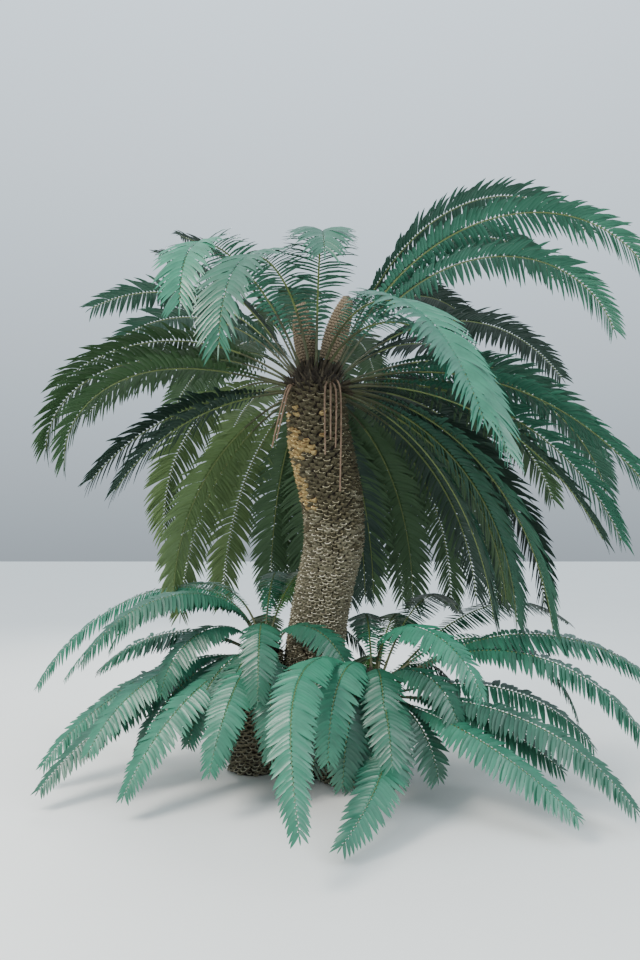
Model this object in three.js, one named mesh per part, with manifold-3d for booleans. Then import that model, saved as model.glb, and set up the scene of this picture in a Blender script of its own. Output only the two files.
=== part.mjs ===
// Natal giant cycad: a bent trunk ringed by old leaf bases, a crown of arching fronds round two cones, dry
// stalks that hang under it, and two suckers at its foot, each with fronds of its own.
// Millimetres and degrees, +Z up, origin on the ground in the middle of the trunk's foot, the viewer at -Y.
import * as THREE from "three";
import { mergeVertices } from "three/addons/utils/BufferGeometryUtils.js";
import Module from "manifold-3d";

const wasm = await Module();
wasm.setup();

// Gap that neighbouring solids keep, and the wider one that a leaflet keeps from whatever it passes
const SEAM = 0.3;
const LEAFLET_CLEARANCE = 5;

// Trunk: height, shift to the right, shift to the back and radius at each station of its bent column
const TRUNK_STATIONS = [
  [0, 0, 0, 285],
  [120, 8, -2, 240],
  [330, 25, -5, 205],
  [650, 55, -5, 190],
  [950, 92, 0, 184],
  [1220, 145, 5, 186],
  [1420, 190, 8, 190],
  [1620, 192, 10, 192],
  [1840, 160, 8, 204],
  [2080, 108, 4, 208],
  [2320, 78, 0, 192],
  [2500, 70, 0, 188],
];
const TRUNK_SIDES = 16;
const TRUNK_RING_PITCH = 92;
const TRUNK_RELIEF = 9;

// Stem tops: a low dome, with the frond seats spread from below its rim to near its middle
const DOME_SHARE = 0.75;
const DOME_RINGS = 3;
const SEAT_LOW_TURN = -25;
const SEAT_HIGH_TURN = 62;
const SEAT_LOW_RISE = -15;
const SEAT_HIGH_RISE = 80;

// Suckers: short stems that lean out from the trunk's foot, bending and tapering at the waist half way up
const SUCKER_FOOT_RADIUS = 165;
const SUCKER_SIDES = 12;
const SUCKER_RING_PITCH = 80;
const SUCKER_RELIEF = 7;
const SUCKER_WAIST_SHIFT = 0.45;
const SUCKER_WAIST_TAPER = 0.8;

// Cones: a stalk, then an egg-shaped body with rows of scales
const CONE_STALK_RADIUS = 26;
const CONE_STALK_LENGTH = 120;
const CONE_BODY_RADIUS = 80;
const CONE_BODY_LENGTH = 430;
const CONE_SIDES = 12;
const CONE_ROWS = 13;
const CONE_RELIEF = 6;
const CONE_SWELL_SPAN = [0.22, 0.93];
const CONE_FULLNESS = 0.62;
const CONE_POINT = 12;

// Dry stalks that hang from under the crown
const STALK_RADIUS = 8;
const STALK_SIDES = 6;
const STALK_STEPS = 8;

// Fronds: rib and leaflets
const RIB_WIDTH = 26;
const RIB_HEIGHT = 20;
const RIB_TIP_SHARE = 0.32;
const LEAF_BASE_WIDTH = 46;
const LEAF_BASE_HEIGHT = 30;
const PETIOLE_SEGMENTS = 3;
const PETIOLE_SHARE = 0.14;
const ROOT_DEPTH = 45;
const LEAFLET_PITCH = 108;
const LEAFLET_LENGTH = 255;
const LEAFLET_FOOT_SHARE = 0.2;
const LEAFLET_FULL_FROM = 0.4;
const LEAFLET_TIP_LOSS = 0.6;
const LEAFLET_FORWARD_FOOT = 12;
const LEAFLET_FORWARD_TIP = 50;
const LEAFLET_CUTS = [1, 0.8, 0.6, 0.4];
const LOWEST_TIP = 8;

// Each frond: its compass direction (0 is right, -90 the front), its rise at the stem, its rise at the tip,
// its length, its swing to the left on the way and its bend (below 1 arches by the stem, above 1 by the tip).
// The roll turns the blades of fronds that point to the right or left, down to the viewer or, below 0, up.
// The lift raises the leaflets from the blade or, below 0, lets them droop
const ROSETTES = [
  {
    name: "crown",
    centre: [70, 0, 2500],
    radius: 188,
    frondScale: 1,
    roll: 20,
    lift: 14,
    fronds: [
      [12, 66, -45, 2700, 0, 2.1],
      [-108, 64, -90, 1950, 0, 1.2],
      [-88, 62, -52, 1700, 0, 1.3],
      [140, 62, 24, 1950, 0, 1.3],
      [98, 68, -30, 2150, 0, 1.3],
      [52, 66, -25, 2250, 0, 1.3],
      [-10, 62, -68, 2700, 0, 1.7],
      [-69, 62, -62, 2300, 0, 0.6],
      [-148, 68, -85, 1900, 60, 1.4],
      [166, 57, -22, 1850, 0, 1.2],
      [30, 44, -42, 2500, 0, 1.3],
      [74, 46, -45, 2350, 0, 1.3],
      [120, 44, -50, 2300, 0, 1.3],
      [178, 36, -45, 1800, 0, 1.2],
      [-22, 15, -64, 2400, 0, 1],
      [-174, 17, -90, 1950, 0, 2.2],
      [147, 26, -98, 1950, 0, 0.9],
      [14, 26, -70, 2450, 0, 1.3],
      [42, 22, -76, 2400, 0, 1.3],
      [64, 20, -78, 2300, 0, 1.3],
      [88, 24, -76, 2300, 0, 1.3],
      [118, 19, -82, 2300, 0, 1.3],
      [-24, -2, -84, 2200, 0, 0.8],
      [4, 0, -86, 2200, 0, 0.9],
      [28, -2, -86, 2200, 0, 0.9],
      [60, -4, -86, 2150, 0, 0.8],
      [78, -6, -86, 2150, 0, 0.8],
      [100, -4, -86, 2150, 0, 0.8],
      [124, -8, -86, 2100, 0, 0.8],
      [144, -14, -86, 2050, 0, 0.8],
      [166, -18, -88, 1700, 0, 0.8],
      [-168, -2, -54, 1500, 0, 1.2],
    ],
  },
  {
    name: "left",
    foot: [-320, -60],
    centre: [-270, -70, 740],
    radius: 120,
    frondScale: 0.8,
    roll: -24,
    lift: -18,
    fronds: [
      [114, 74, -58, 2450, 70, 0.56],
      [-130, 84, -62, 1450, -40, 0.75],
      [-144, 14, -70, 1000, 0, 0.8],
      [158, 24, -42, 1250, 10, 1],
      [-178, -2, -50, 1450, 38, 1.2],
      [-160, -8, -44, 1480, 28, 1.2],
      [-122, 2, -60, 1260, -10, 1],
      [70, 60, -50, 1500, 0, 1.2],
    ],
  },
  {
    name: "right",
    foot: [270, -270],
    centre: [420, -430, 560],
    radius: 130,
    frondScale: 0.84,
    roll: -24,
    lift: -18,
    fronds: [
      [-136, 64, -62, 1720, 65, 0.65],
      [-118, 82, -88, 1000, 14, 0.7],
      [-108, 60, -86, 850, 0, 0.6],
      [-87, 40, -62, 800, 0, 0.8],
      [-76, -15, -32, 1120, -58, 1],
      [-82, 86, -74, 1230, 52, 1],
      [-12, 44, -72, 1880, -2, 1],
      [-44, -2, -36, 1250, 6, 1],
      [-23, 5, -51, 1500, -16, 1.6],
      [12, 32, -50, 2200, 0, 1.2],
      [38, 38, -30, 2100, 0, 1.2],
      [74, 52, -50, 1500, 0, 1.1],
      [-176, 78, -100, 900, 30, 0.7],
    ],
  },
];

const CONES = [
  { name: "cone_left", foot: [35, 38, 2560], lean: 8, turn: 160 },
  { name: "cone_right", foot: [118, -52, 2560], lean: 21, turn: -32 },
];

// Groups of dry stalks: the root they share on the trunk, then the knee and the tip of each
const STALK_GROUPS = [
  {
    name: "stalks_right",
    root: [165, -110, 2520],
    stalks: [
      [[132, -235, 2440], [134, -240, 2020]],
      [[168, -232, 2430], [168, -246, 2115]],
      [[203, -215, 2430], [200, -240, 2065]],
      [[232, -190, 2440], [229, -242, 1785]],
    ],
  },
  {
    name: "stalks_left",
    root: [-75, -110, 2500],
    stalks: [
      [[-112, -160, 2430], [-182, -185, 2125]],
      [[-128, -135, 2440], [-215, -150, 2075]],
    ],
  },
];

const rad = THREE.MathUtils.degToRad;
const mix = THREE.MathUtils.lerp;
const { smoothstep, clamp } = THREE.MathUtils;

// A solid for cutting and joining, from a closed geometry
function solidOf(geometry) {
  const bare = geometry.clone();
  bare.deleteAttribute("normal");
  bare.deleteAttribute("uv");
  const merged = mergeVertices(bare, 1e-3);
  const vertProperties = new Float32Array(merged.attributes.position.array);
  const triVerts = new Uint32Array(merged.index.array);
  return new wasm.Manifold(new wasm.Mesh({ numProp: 3, vertProperties, triVerts }));
}

// The largest body of a solid, as a geometry: a scrap that a cut leaves is dropped
function geometryFrom(solid) {
  const bodies = solid.decompose().sort((a, b) => b.volume() - a.volume());
  const mesh = bodies[0].getMesh();
  const geometry = new THREE.BufferGeometry();
  geometry.setAttribute("position", new THREE.BufferAttribute(mesh.vertProperties, 3));
  geometry.setIndex(new THREE.BufferAttribute(mesh.triVerts, 1));
  return geometry;
}

// A closed skin over level rings, from a flat foot to a point: each ring is half a step round from the last
function columnGeometry(levels, top, sides) {
  const points = levels.flatMap((level, row) =>
    Array.from({ length: sides }, (_, side) => {
      const turn = ((side + (row % 2) / 2) * 2 * Math.PI) / sides;
      const out = new THREE.Vector3(Math.cos(turn), Math.sin(turn), 0).multiplyScalar(level.radius);
      return out.add(new THREE.Vector3(level.x, level.y, level.z));
    }),
  );
  const at = (row, side) => row * sides + (side % sides);
  const triangles = [];
  for (let row = 0; row + 1 < levels.length; row++) {
    const ahead = row % 2;
    for (let side = 0; side < sides; side++) {
      triangles.push(at(row, side), at(row, side + 1), at(row + 1, side + ahead));
      triangles.push(at(row + 1, side + 1), at(row + 1, side), at(row, side + 1 - ahead));
    }
  }
  const footMiddle = points.push(new THREE.Vector3(levels[0].x, levels[0].y, levels[0].z)) - 1;
  const topPoint = points.push(top) - 1;
  const last = levels.length - 1;
  for (let side = 0; side < sides; side++) {
    triangles.push(at(0, side + 1), at(0, side), footMiddle);
    triangles.push(at(last, side), at(last, side + 1), topPoint);
  }
  return new THREE.BufferGeometry().setFromPoints(points).setIndex(triangles);
}

// Levels of a low dome on a stem's top, which the column's point then closes
function domeLevels(centre, radius) {
  return Array.from({ length: DOME_RINGS }, (_, ring) => {
    const turn = rad((90 * (ring + 1)) / (DOME_RINGS + 1));
    return {
      x: centre.x,
      y: centre.y,
      z: centre.z + radius * DOME_SHARE * Math.sin(turn),
      radius: radius * Math.cos(turn),
    };
  });
}

// A stem from stations of height, two shifts and radius, with every other ring drawn in by the relief; extra
// thickens it for a cut that leaves a seam
function stemGeometry(stations, sides, pitch, relief, extra) {
  const heights = stations.map((station) => station[0]);
  const values = stations.flatMap((station) => station.slice(1));
  const spline = new THREE.CubicInterpolant(heights, values, 3);
  const topHeight = heights.at(-1);
  const rows = Math.round(topHeight / pitch);
  const levels = Array.from({ length: rows + 1 }, (_, row) => {
    const z = (topHeight * row) / rows;
    const [x, y, radius] = spline.evaluate(z);
    return { x, y, z, radius: radius - relief * (row % 2) + extra };
  });
  const [x, y, radius] = stations.at(-1).slice(1);
  const centre = new THREE.Vector3(x, y, topHeight);
  levels.push(...domeLevels(centre, radius + extra));
  return columnGeometry(levels, new THREE.Vector3(x, y, topHeight + radius * DOME_SHARE + extra), sides);
}

function trunkGeometry(extra = 0) {
  return stemGeometry(TRUNK_STATIONS, TRUNK_SIDES, TRUNK_RING_PITCH, TRUNK_RELIEF, extra);
}

function suckerGeometry({ foot, centre, radius }, extra = 0) {
  const waist = [
    mix(foot[0], centre[0], SUCKER_WAIST_SHIFT),
    mix(foot[1], centre[1], SUCKER_WAIST_SHIFT),
    mix(SUCKER_FOOT_RADIUS, radius, SUCKER_WAIST_TAPER),
  ];
  const [x, y, height] = centre;
  const stations = [
    [0, ...foot, SUCKER_FOOT_RADIUS],
    [height / 2, ...waist],
    [height, x, y, radius],
  ];
  return stemGeometry(stations, SUCKER_SIDES, SUCKER_RING_PITCH, SUCKER_RELIEF, extra);
}

// A cone that stands on its foot, leaning by some degrees towards a compass direction
function coneGeometry({ foot, lean, turn }) {
  const levels = [
    { x: 0, y: 0, z: 0, radius: CONE_STALK_RADIUS },
    { x: 0, y: 0, z: CONE_STALK_LENGTH, radius: CONE_STALK_RADIUS },
  ];
  for (let row = 0; row < CONE_ROWS; row++) {
    const share = (row + 0.5) / CONE_ROWS;
    const swell = Math.sin(Math.PI * mix(...CONE_SWELL_SPAN, share)) ** CONE_FULLNESS;
    const z = CONE_STALK_LENGTH + CONE_BODY_LENGTH * share;
    levels.push({ x: 0, y: 0, z, radius: CONE_BODY_RADIUS * swell - CONE_RELIEF * (row % 2) });
  }
  const top = new THREE.Vector3(0, 0, CONE_STALK_LENGTH + CONE_BODY_LENGTH + CONE_POINT);
  const axis = new THREE.Vector3(-Math.sin(rad(turn)), Math.cos(rad(turn)), 0);
  return columnGeometry(levels, top, CONE_SIDES)
    .rotateZ(rad(turn))
    .applyMatrix4(new THREE.Matrix4().makeRotationAxis(axis, rad(lean)))
    .translate(...foot);
}

// A rod of even thickness along a smooth line through some points
function rodGeometry(line) {
  const section = new THREE.Shape().absarc(0, 0, STALK_RADIUS, 0, 2 * Math.PI);
  const extrudePath = new THREE.CatmullRomCurve3(line.map((point) => new THREE.Vector3(...point)));
  return new THREE.ExtrudeGeometry(section, { extrudePath, steps: STALK_STEPS, curveSegments: STALK_SIDES });
}

// Where a frond is seated: steep ones near the middle of the dome, level ones on its rim or just under it
function seatOf({ centre, radius }, azimuth, rise) {
  const share = clamp((rise - SEAT_LOW_RISE) / (SEAT_HIGH_RISE - SEAT_LOW_RISE), 0, 1);
  const turn = rad(mix(SEAT_LOW_TURN, SEAT_HIGH_TURN, share));
  const out = radius * Math.cos(Math.max(turn, 0));
  const seat = new THREE.Vector3(Math.cos(rad(azimuth)), Math.sin(rad(azimuth)), 0).multiplyScalar(out);
  seat.z = radius * DOME_SHARE * Math.sin(turn);
  return seat.add(new THREE.Vector3(...centre));
}

// The rib's stations from root to tip, each with its place, its own axes and its half sizes
function layRib(rosette, [azimuth, rise, tipRise, length, swing, bend]) {
  const axesAt = (share) => {
    const elevation = rad(mix(rise, tipRise, share ** bend));
    const compass = rad(azimuth + swing * share);
    const ahead = new THREE.Vector3(
      Math.cos(elevation) * Math.cos(compass),
      Math.cos(elevation) * Math.sin(compass),
      Math.sin(elevation),
    );
    const level = new THREE.Vector3(-Math.sin(compass), Math.cos(compass), 0);
    const left = level.applyAxisAngle(ahead, -rad(rosette.roll) * Math.cos(compass));
    return { ahead, left, up: ahead.clone().cross(left) };
  };
  const leaflets = Math.round((length * (1 - PETIOLE_SHARE)) / LEAFLET_PITCH);
  const shares = [];
  for (let i = 0; i < PETIOLE_SEGMENTS; i++) shares.push((PETIOLE_SHARE * i) / PETIOLE_SEGMENTS);
  for (let i = 0; i <= leaflets; i++) shares.push(mix(PETIOLE_SHARE, 1, i / leaflets));
  const place = seatOf(rosette, azimuth, rise).addScaledVector(axesAt(0).ahead, -ROOT_DEPTH);
  return shares.map((share, i) => {
    if (i) place.addScaledVector(axesAt((share + shares[i - 1]) / 2).ahead, length * (share - shares[i - 1]));
    const slim = rosette.frondScale * mix(1, RIB_TIP_SHARE, share);
    return {
      share,
      place: place.clone(),
      ...axesAt(share),
      lift: rad(rosette.lift),
      halfWidth: (slim * (i ? RIB_WIDTH : LEAF_BASE_WIDTH)) / 2,
      halfHeight: (slim * (i ? RIB_HEIGHT : LEAF_BASE_HEIGHT)) / 2,
    };
  });
}

// Four corners of the rib at a station: top left, top right, bottom right, bottom left
function cornersOf(station, grown = 0) {
  const { place, left, up, halfWidth, halfHeight } = station;
  const corner = (side, height) =>
    place.clone().addScaledVector(left, side * halfWidth).addScaledVector(up, height * (halfHeight + grown));
  return [corner(1, 1), corner(-1, 1), corner(-1, -1), corner(1, -1)];
}

// Tip of the leaflet between two stations on one side, 1 for left and -1 for right
function leafletTip(near, far, side, length) {
  const t = clamp(((near.share + far.share) / 2 - PETIOLE_SHARE) / (1 - PETIOLE_SHARE), 0, 1);
  const forward = rad(mix(LEAFLET_FORWARD_FOOT, LEAFLET_FORWARD_TIP, t * t));
  const out = near.left.clone().multiplyScalar(side * Math.cos(near.lift));
  out.addScaledVector(near.up, Math.sin(near.lift));
  const tip = near.place.clone().lerp(far.place, 0.5);
  tip.addScaledVector(out, length * Math.cos(forward));
  tip.addScaledVector(near.ahead, length * Math.sin(forward));
  return tip.setZ(Math.max(tip.z, LOWEST_TIP));
}

// A leaflet's length by its place along the blade: short spines by the stem, longest before the middle
function leafletLength(near, scale) {
  const t = clamp((near.share - PETIOLE_SHARE) / (1 - PETIOLE_SHARE), 0, 1);
  const foot = mix(LEAFLET_FOOT_SHARE, 1, smoothstep(t, 0, LEAFLET_FULL_FROM));
  return LEAFLET_LENGTH * scale * foot * (1 - LEAFLET_TIP_LOSS * t ** 4);
}

// A small body for the clearance test: its faces, edges and box
function hurdleOf(points, faces) {
  const edges = new Map();
  for (const face of faces) {
    face.forEach((from, i) => {
      const to = face[(i + 1) % 3];
      edges.set(`${Math.min(from, to)}-${Math.max(from, to)}`, [points[from], points[to]]);
    });
  }
  return {
    faces: faces.map((face) => face.map((corner) => points[corner])),
    edges: [...edges.values()],
    box: new THREE.Box3().setFromPoints(points),
  };
}

const probe = new THREE.Ray();
const hit = new THREE.Vector3();

function edgePierces(a, b) {
  return a.edges.some(([from, to]) => {
    const reach = from.distanceTo(to);
    probe.origin.copy(from);
    probe.direction.copy(to).sub(from).divideScalar(reach);
    const meets = (face) => probe.intersectTriangle(...face, false, hit) && hit.distanceTo(from) <= reach;
    return b.faces.some(meets);
  });
}

function touches(a, b) {
  return a.box.intersectsBox(b.box) && (edgePierces(a, b) || edgePierces(b, a));
}

const PRISM_FACES = [
  [0, 1, 5], [0, 5, 4], [1, 2, 6], [1, 6, 5], [2, 3, 7], [2, 7, 6], [3, 0, 4], [3, 4, 7],
];
const PYRAMID_FACES = [[0, 1, 4], [1, 2, 4], [2, 3, 4], [3, 0, 4]];

function leafletHurdle(near, far, side, length) {
  const [top, bottom] = side > 0 ? [0, 3] : [1, 2];
  const here = cornersOf(near, LEAFLET_CLEARANCE);
  const next = cornersOf(far, LEAFLET_CLEARANCE);
  const tip = leafletTip(near, far, side, length + LEAFLET_CLEARANCE);
  return hurdleOf([here[top], next[top], next[bottom], here[bottom], tip], PYRAMID_FACES);
}

// Gives each stretch of a frond the lengths of its two leaflets, cut back or left out near something else
function growLeaflets(frond, hurdles) {
  frond.leaflets = frond.stations.slice(1).map((far, i) => {
    const near = frond.stations[i];
    if (i < PETIOLE_SEGMENTS) return [0, 0];
    return [1, -1].map((side) => {
      const full = leafletLength(near, frond.frondScale);
      for (const cut of LEAFLET_CUTS) {
        const hurdle = leafletHurdle(near, far, side, full * cut);
        if (hurdles.some((other) => other.owner !== frond && touches(hurdle, other))) continue;
        hurdles.push({ ...hurdle, owner: frond });
        return full * cut;
      }
      return 0;
    });
  });
}

// The frond's closed skin: a square rib whose side faces are drawn out to pointed leaflets
function frondGeometry({ stations, leaflets }) {
  const points = stations.flatMap((station) => cornersOf(station));
  const triangles = [];
  const quad = (a, b, c, d) => triangles.push(a, b, c, a, c, d);
  const drawnOut = (a, b, c, d, tip) => {
    const apex = points.push(tip) - 1;
    triangles.push(a, b, apex, b, c, apex, c, d, apex, d, a, apex);
  };
  leaflets.forEach(([left, right], i) => {
    const near = 4 * i;
    const far = near + 4;
    quad(near + 1, far + 1, far, near);
    quad(near + 3, far + 3, far + 2, near + 2);
    const sides = [
      [left, 1, [near, far, far + 3, near + 3]],
      [right, -1, [near + 2, far + 2, far + 1, near + 1]],
    ];
    for (const [length, side, corners] of sides) {
      if (length) drawnOut(...corners, leafletTip(stations[i], stations[i + 1], side, length));
      else quad(...corners);
    }
  });
  quad(1, 0, 3, 2);
  const last = 4 * (stations.length - 1);
  const end = stations.at(-1);
  const endTip = end.place.clone().addScaledVector(end.ahead, LEAFLET_LENGTH * LEAFLET_TIP_LOSS);
  drawnOut(last + 1, last + 2, last + 3, last, endTip);
  return new THREE.BufferGeometry().setFromPoints(points).setIndex(triangles);
}

function ribHurdles(frond) {
  return frond.stations.slice(1).map((far, i) => {
    const points = [...cornersOf(frond.stations[i]), ...cornersOf(far)];
    return { ...hurdleOf(points, PRISM_FACES), owner: frond };
  });
}

function meshHurdles(geometry) {
  const place = (i) => new THREE.Vector3().fromBufferAttribute(geometry.attributes.position, i);
  const index = geometry.index.array;
  const found = [];
  for (let i = 0; i < index.length; i += 3) {
    found.push(hurdleOf([place(index[i]), place(index[i + 1]), place(index[i + 2])], [[0, 1, 2]]));
  }
  return found;
}

const LEAF_MATERIAL = new THREE.MeshStandardMaterial({ color: 0x2f6b50, roughness: 0.42, metalness: 0 });
const BARK_MATERIAL = new THREE.MeshStandardMaterial({ color: 0x7a6a4c, roughness: 0.9, metalness: 0 });
const CONE_MATERIAL = new THREE.MeshStandardMaterial({ color: 0xb08552, roughness: 0.8, metalness: 0 });
const STALK_MATERIAL = new THREE.MeshStandardMaterial({ color: 0x8a6a55, roughness: 0.85, metalness: 0 });

const plant = new THREE.Group();

function add(name, geometry, material) {
  const mesh = new THREE.Mesh(geometry, material);
  mesh.name = name;
  plant.add(mesh);
}

const [crown, ...suckers] = ROSETTES;
const trunk = trunkGeometry();
const trunkCut = solidOf(trunkGeometry(SEAM));
add("trunk", trunk, BARK_MATERIAL);

const hurdles = meshHurdles(trunk);
for (const sucker of suckers) {
  const stem = geometryFrom(solidOf(suckerGeometry(sucker)).subtract(trunkCut));
  add(`sucker_${sucker.name}`, stem, BARK_MATERIAL);
  hurdles.push(...meshHurdles(stem));
}
for (const cone of CONES) {
  const body = geometryFrom(solidOf(coneGeometry(cone)).subtract(trunkCut));
  add(cone.name, body, CONE_MATERIAL);
  hurdles.push(...meshHurdles(body));
}

for (const { name, root, stalks } of STALK_GROUPS) {
  const rods = stalks.map((stalk) => solidOf(rodGeometry([root, ...stalk])));
  const group = geometryFrom(wasm.Manifold.union(rods).subtract(trunkCut));
  add(name, group, STALK_MATERIAL);
  hurdles.push(...meshHurdles(group));
}

const fronds = ROSETTES.flatMap((rosette) =>
  rosette.fronds.map((frond, i) => ({
    name: `frond_${rosette.name}_${String(i + 1).padStart(2, "0")}`,
    rosette,
    frondScale: rosette.frondScale,
    stations: layRib(rosette, frond),
  })),
);
for (const frond of fronds) hurdles.push(...ribHurdles(frond));
for (const frond of fronds) growLeaflets(frond, hurdles);

const stemCuts = new Map([[crown, trunkCut]]);
for (const sucker of suckers) stemCuts.set(sucker, solidOf(suckerGeometry(sucker, SEAM)));
for (const frond of fronds) {
  const cut = stemCuts.get(frond.rosette);
  add(frond.name, geometryFrom(solidOf(frondGeometry(frond)).subtract(cut)), LEAF_MATERIAL);
}

export default plant;
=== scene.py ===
"""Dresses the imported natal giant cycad: relief bark, cones, dry stalks and fine fronds, in metres, +Z up."""

import math
import random

import bpy
from mathutils import Matrix, Vector


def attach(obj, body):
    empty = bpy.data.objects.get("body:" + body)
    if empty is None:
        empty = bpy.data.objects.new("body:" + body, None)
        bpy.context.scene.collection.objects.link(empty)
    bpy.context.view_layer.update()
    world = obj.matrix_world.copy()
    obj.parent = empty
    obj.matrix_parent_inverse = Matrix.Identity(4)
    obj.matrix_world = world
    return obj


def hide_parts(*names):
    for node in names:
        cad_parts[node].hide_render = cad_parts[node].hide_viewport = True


bl_info = {
    "name": "Natal giant cycad",
    "version": (1, 0, 0),
    "blender": (4, 5, 0),
    "location": "3D View > Sidebar > Cycad",
    "description": "Grows the fine fronds, bark, cones and dry stalks of a natal giant cycad on its packed solids",
    "category": "Add Mesh",
}

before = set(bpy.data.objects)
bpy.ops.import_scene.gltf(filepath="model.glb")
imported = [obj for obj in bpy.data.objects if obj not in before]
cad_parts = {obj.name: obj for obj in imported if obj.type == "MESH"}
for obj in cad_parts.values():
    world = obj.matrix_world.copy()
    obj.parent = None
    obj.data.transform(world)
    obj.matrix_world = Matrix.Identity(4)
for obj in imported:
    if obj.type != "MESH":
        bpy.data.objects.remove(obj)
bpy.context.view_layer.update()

MILLIMETRE = 0.001
BODY = "root"
GOLDEN_TURN = math.radians(137.50776)

# Trunk stations of the source: height, shift to the right, shift to the back, radius, in millimetres
TRUNK_STATIONS = [
    (0, 0, 0, 285),
    (120, 8, -2, 240),
    (330, 25, -5, 205),
    (650, 55, -5, 190),
    (950, 92, 0, 184),
    (1220, 145, 5, 186),
    (1420, 190, 8, 190),
    (1620, 192, 10, 192),
    (1840, 160, 8, 204),
    (2080, 108, 4, 208),
    (2320, 78, 0, 192),
    (2500, 70, 0, 188),
]
DOME_SHARE = 0.75
SEAT_TURNS = (-25, 62)
SEAT_RISES = (-15, 80)

# The core of a stem, painted dark as the shade in the gaps between its leaf bases: corners round it, distance
# between its rings in millimetres, depth under the surface in metres and the turns of the rings on its dome in degrees
CORE_SIDES = 48
CORE_STEP = 25
CORE_DEPTH = 0.014
DOME_TURNS = range(15, 90, 15)

SUCKER_FOOT_RADIUS = 165
SUCKER_WAIST_SHIFT = 0.45
SUCKER_WAIST_TAPER = 0.8

# Rib and leaflet sizes of the source, in millimetres and shares
RIB_WIDTH = 26
RIB_HEIGHT = 20
RIB_TIP_SHARE = 0.32
LEAF_BASE_WIDTH = 46
PETIOLE_SHARE = 0.14
ROOT_DEPTH = 45
LEAFLET_FOOT_SHARE = 0.2
LEAFLET_FULL_FROM = 0.4
LEAFLET_TIP_LOSS = 0.6

# Finer ribs: shares along a frond where its swollen base, its base's look and its stalk's look end, a rib's girth as
# a share of the source's at its foot and from the next share on, and the distance between its points in metres
SWELLING_END = 0.05
BASE_LOOK_END = 0.045
PETIOLE_LOOK_END = 0.24
RIB_SLIMMING = (0.95, 0.62)
RIB_SLIM_FROM = 0.3
RIB_STEP = 0.06

# Finer leaflets: size of the one at the tip, how far one side's are ahead of the other's as a share of the pitch,
# where their feet sit out and up as shares of the rib's half width, their sweep and their forward bow
TIP_LEAFLET_SHARE = 0.55
STAGGER = 0.35
FOOT_SEAT = (0.25, 0.6)
SWEEP_AT_FOOT = math.radians(12)
SWEEP_AT_TIP = math.radians(50)
SICKLE = 0.07

# Chance in leaflets: spans for their length and sag as shares and for their twist in radians, and how far sweep and
# lift go to either side in radians. Then where along a frond they are narrower: from, to and the width at each
LEAFLET_LENGTHS = (0.92, 1.0)
LEAFLET_SAGS = (0.6, 1.5)
LEAFLET_TWISTS = (0.12, 0.42)
SWEEP_SPREAD = 0.07
LIFT_SPREAD = 0.1
NARROW_AT_FOOT = (0.0, 0.12, 0.45, 1.0)
NARROW_AT_TIP = (0.75, 1.0, 1.0, 0.6)

# Lowest heights, in metres, for parts that would reach into the ground
LOWEST_BARK = 0.001
LOWEST_RIB = 0.002
LOWEST_LEAFLET = 0.006

# Heights on the trunk, in metres, between which the warm patch begins, ends, narrows and thins and the bark turns
# brown. The warm patch is partly tan dry leaf bases and partly painted sunlight on the trunk's left side. Two
# further numbers are the patch's edge or density at those heights
PATCH_BEGINS = (1.6, 1.9)
PATCH_ENDS = (2.46, 2.14)
PATCH_NARROWS = (2.0, 2.15, 0.66, -0.2)
PATCH_THINS = (2.05, 2.2, 1.05, 0.62)
BROWN_BEGINS = (1.25, 1.85)

# How the tones of bark mingle: cosines past the patch's edge between which it fades in, scale, detail and strength of
# the noise, and for the gold with its painted sunlight and for brown the reach of chance to either side and the value
# above which a base has that tone
PATCH_FADE = (-0.4, 0.3)
MINGLE_NOISE = (7.0, 3.0)
MINGLE_STRENGTH = 1.4
GOLD_AND_SUN_SPREAD, GOLD_AND_SUN_ABOVE = 0.45, 0.64
BROWN_SPREAD, BROWN_ABOVE = 0.3, 0.5

# Old leaf bases: how far turn, roll and tilt go to either side in radians, spans for their length and size, the share
# of the length that is sunk, and the chance value above which a lip is worn away
BASE_TURN_SPREAD = 0.05
BASE_ROLL_SPREAD = 0.3
BASE_TILT_SPREAD = 0.2
BASE_LENGTHS = (0.75, 1.3)
BASE_SIZES = (0.84, 1.2)
BASE_SUNK = 0.5
WORN_ABOVE = 0.74
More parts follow.
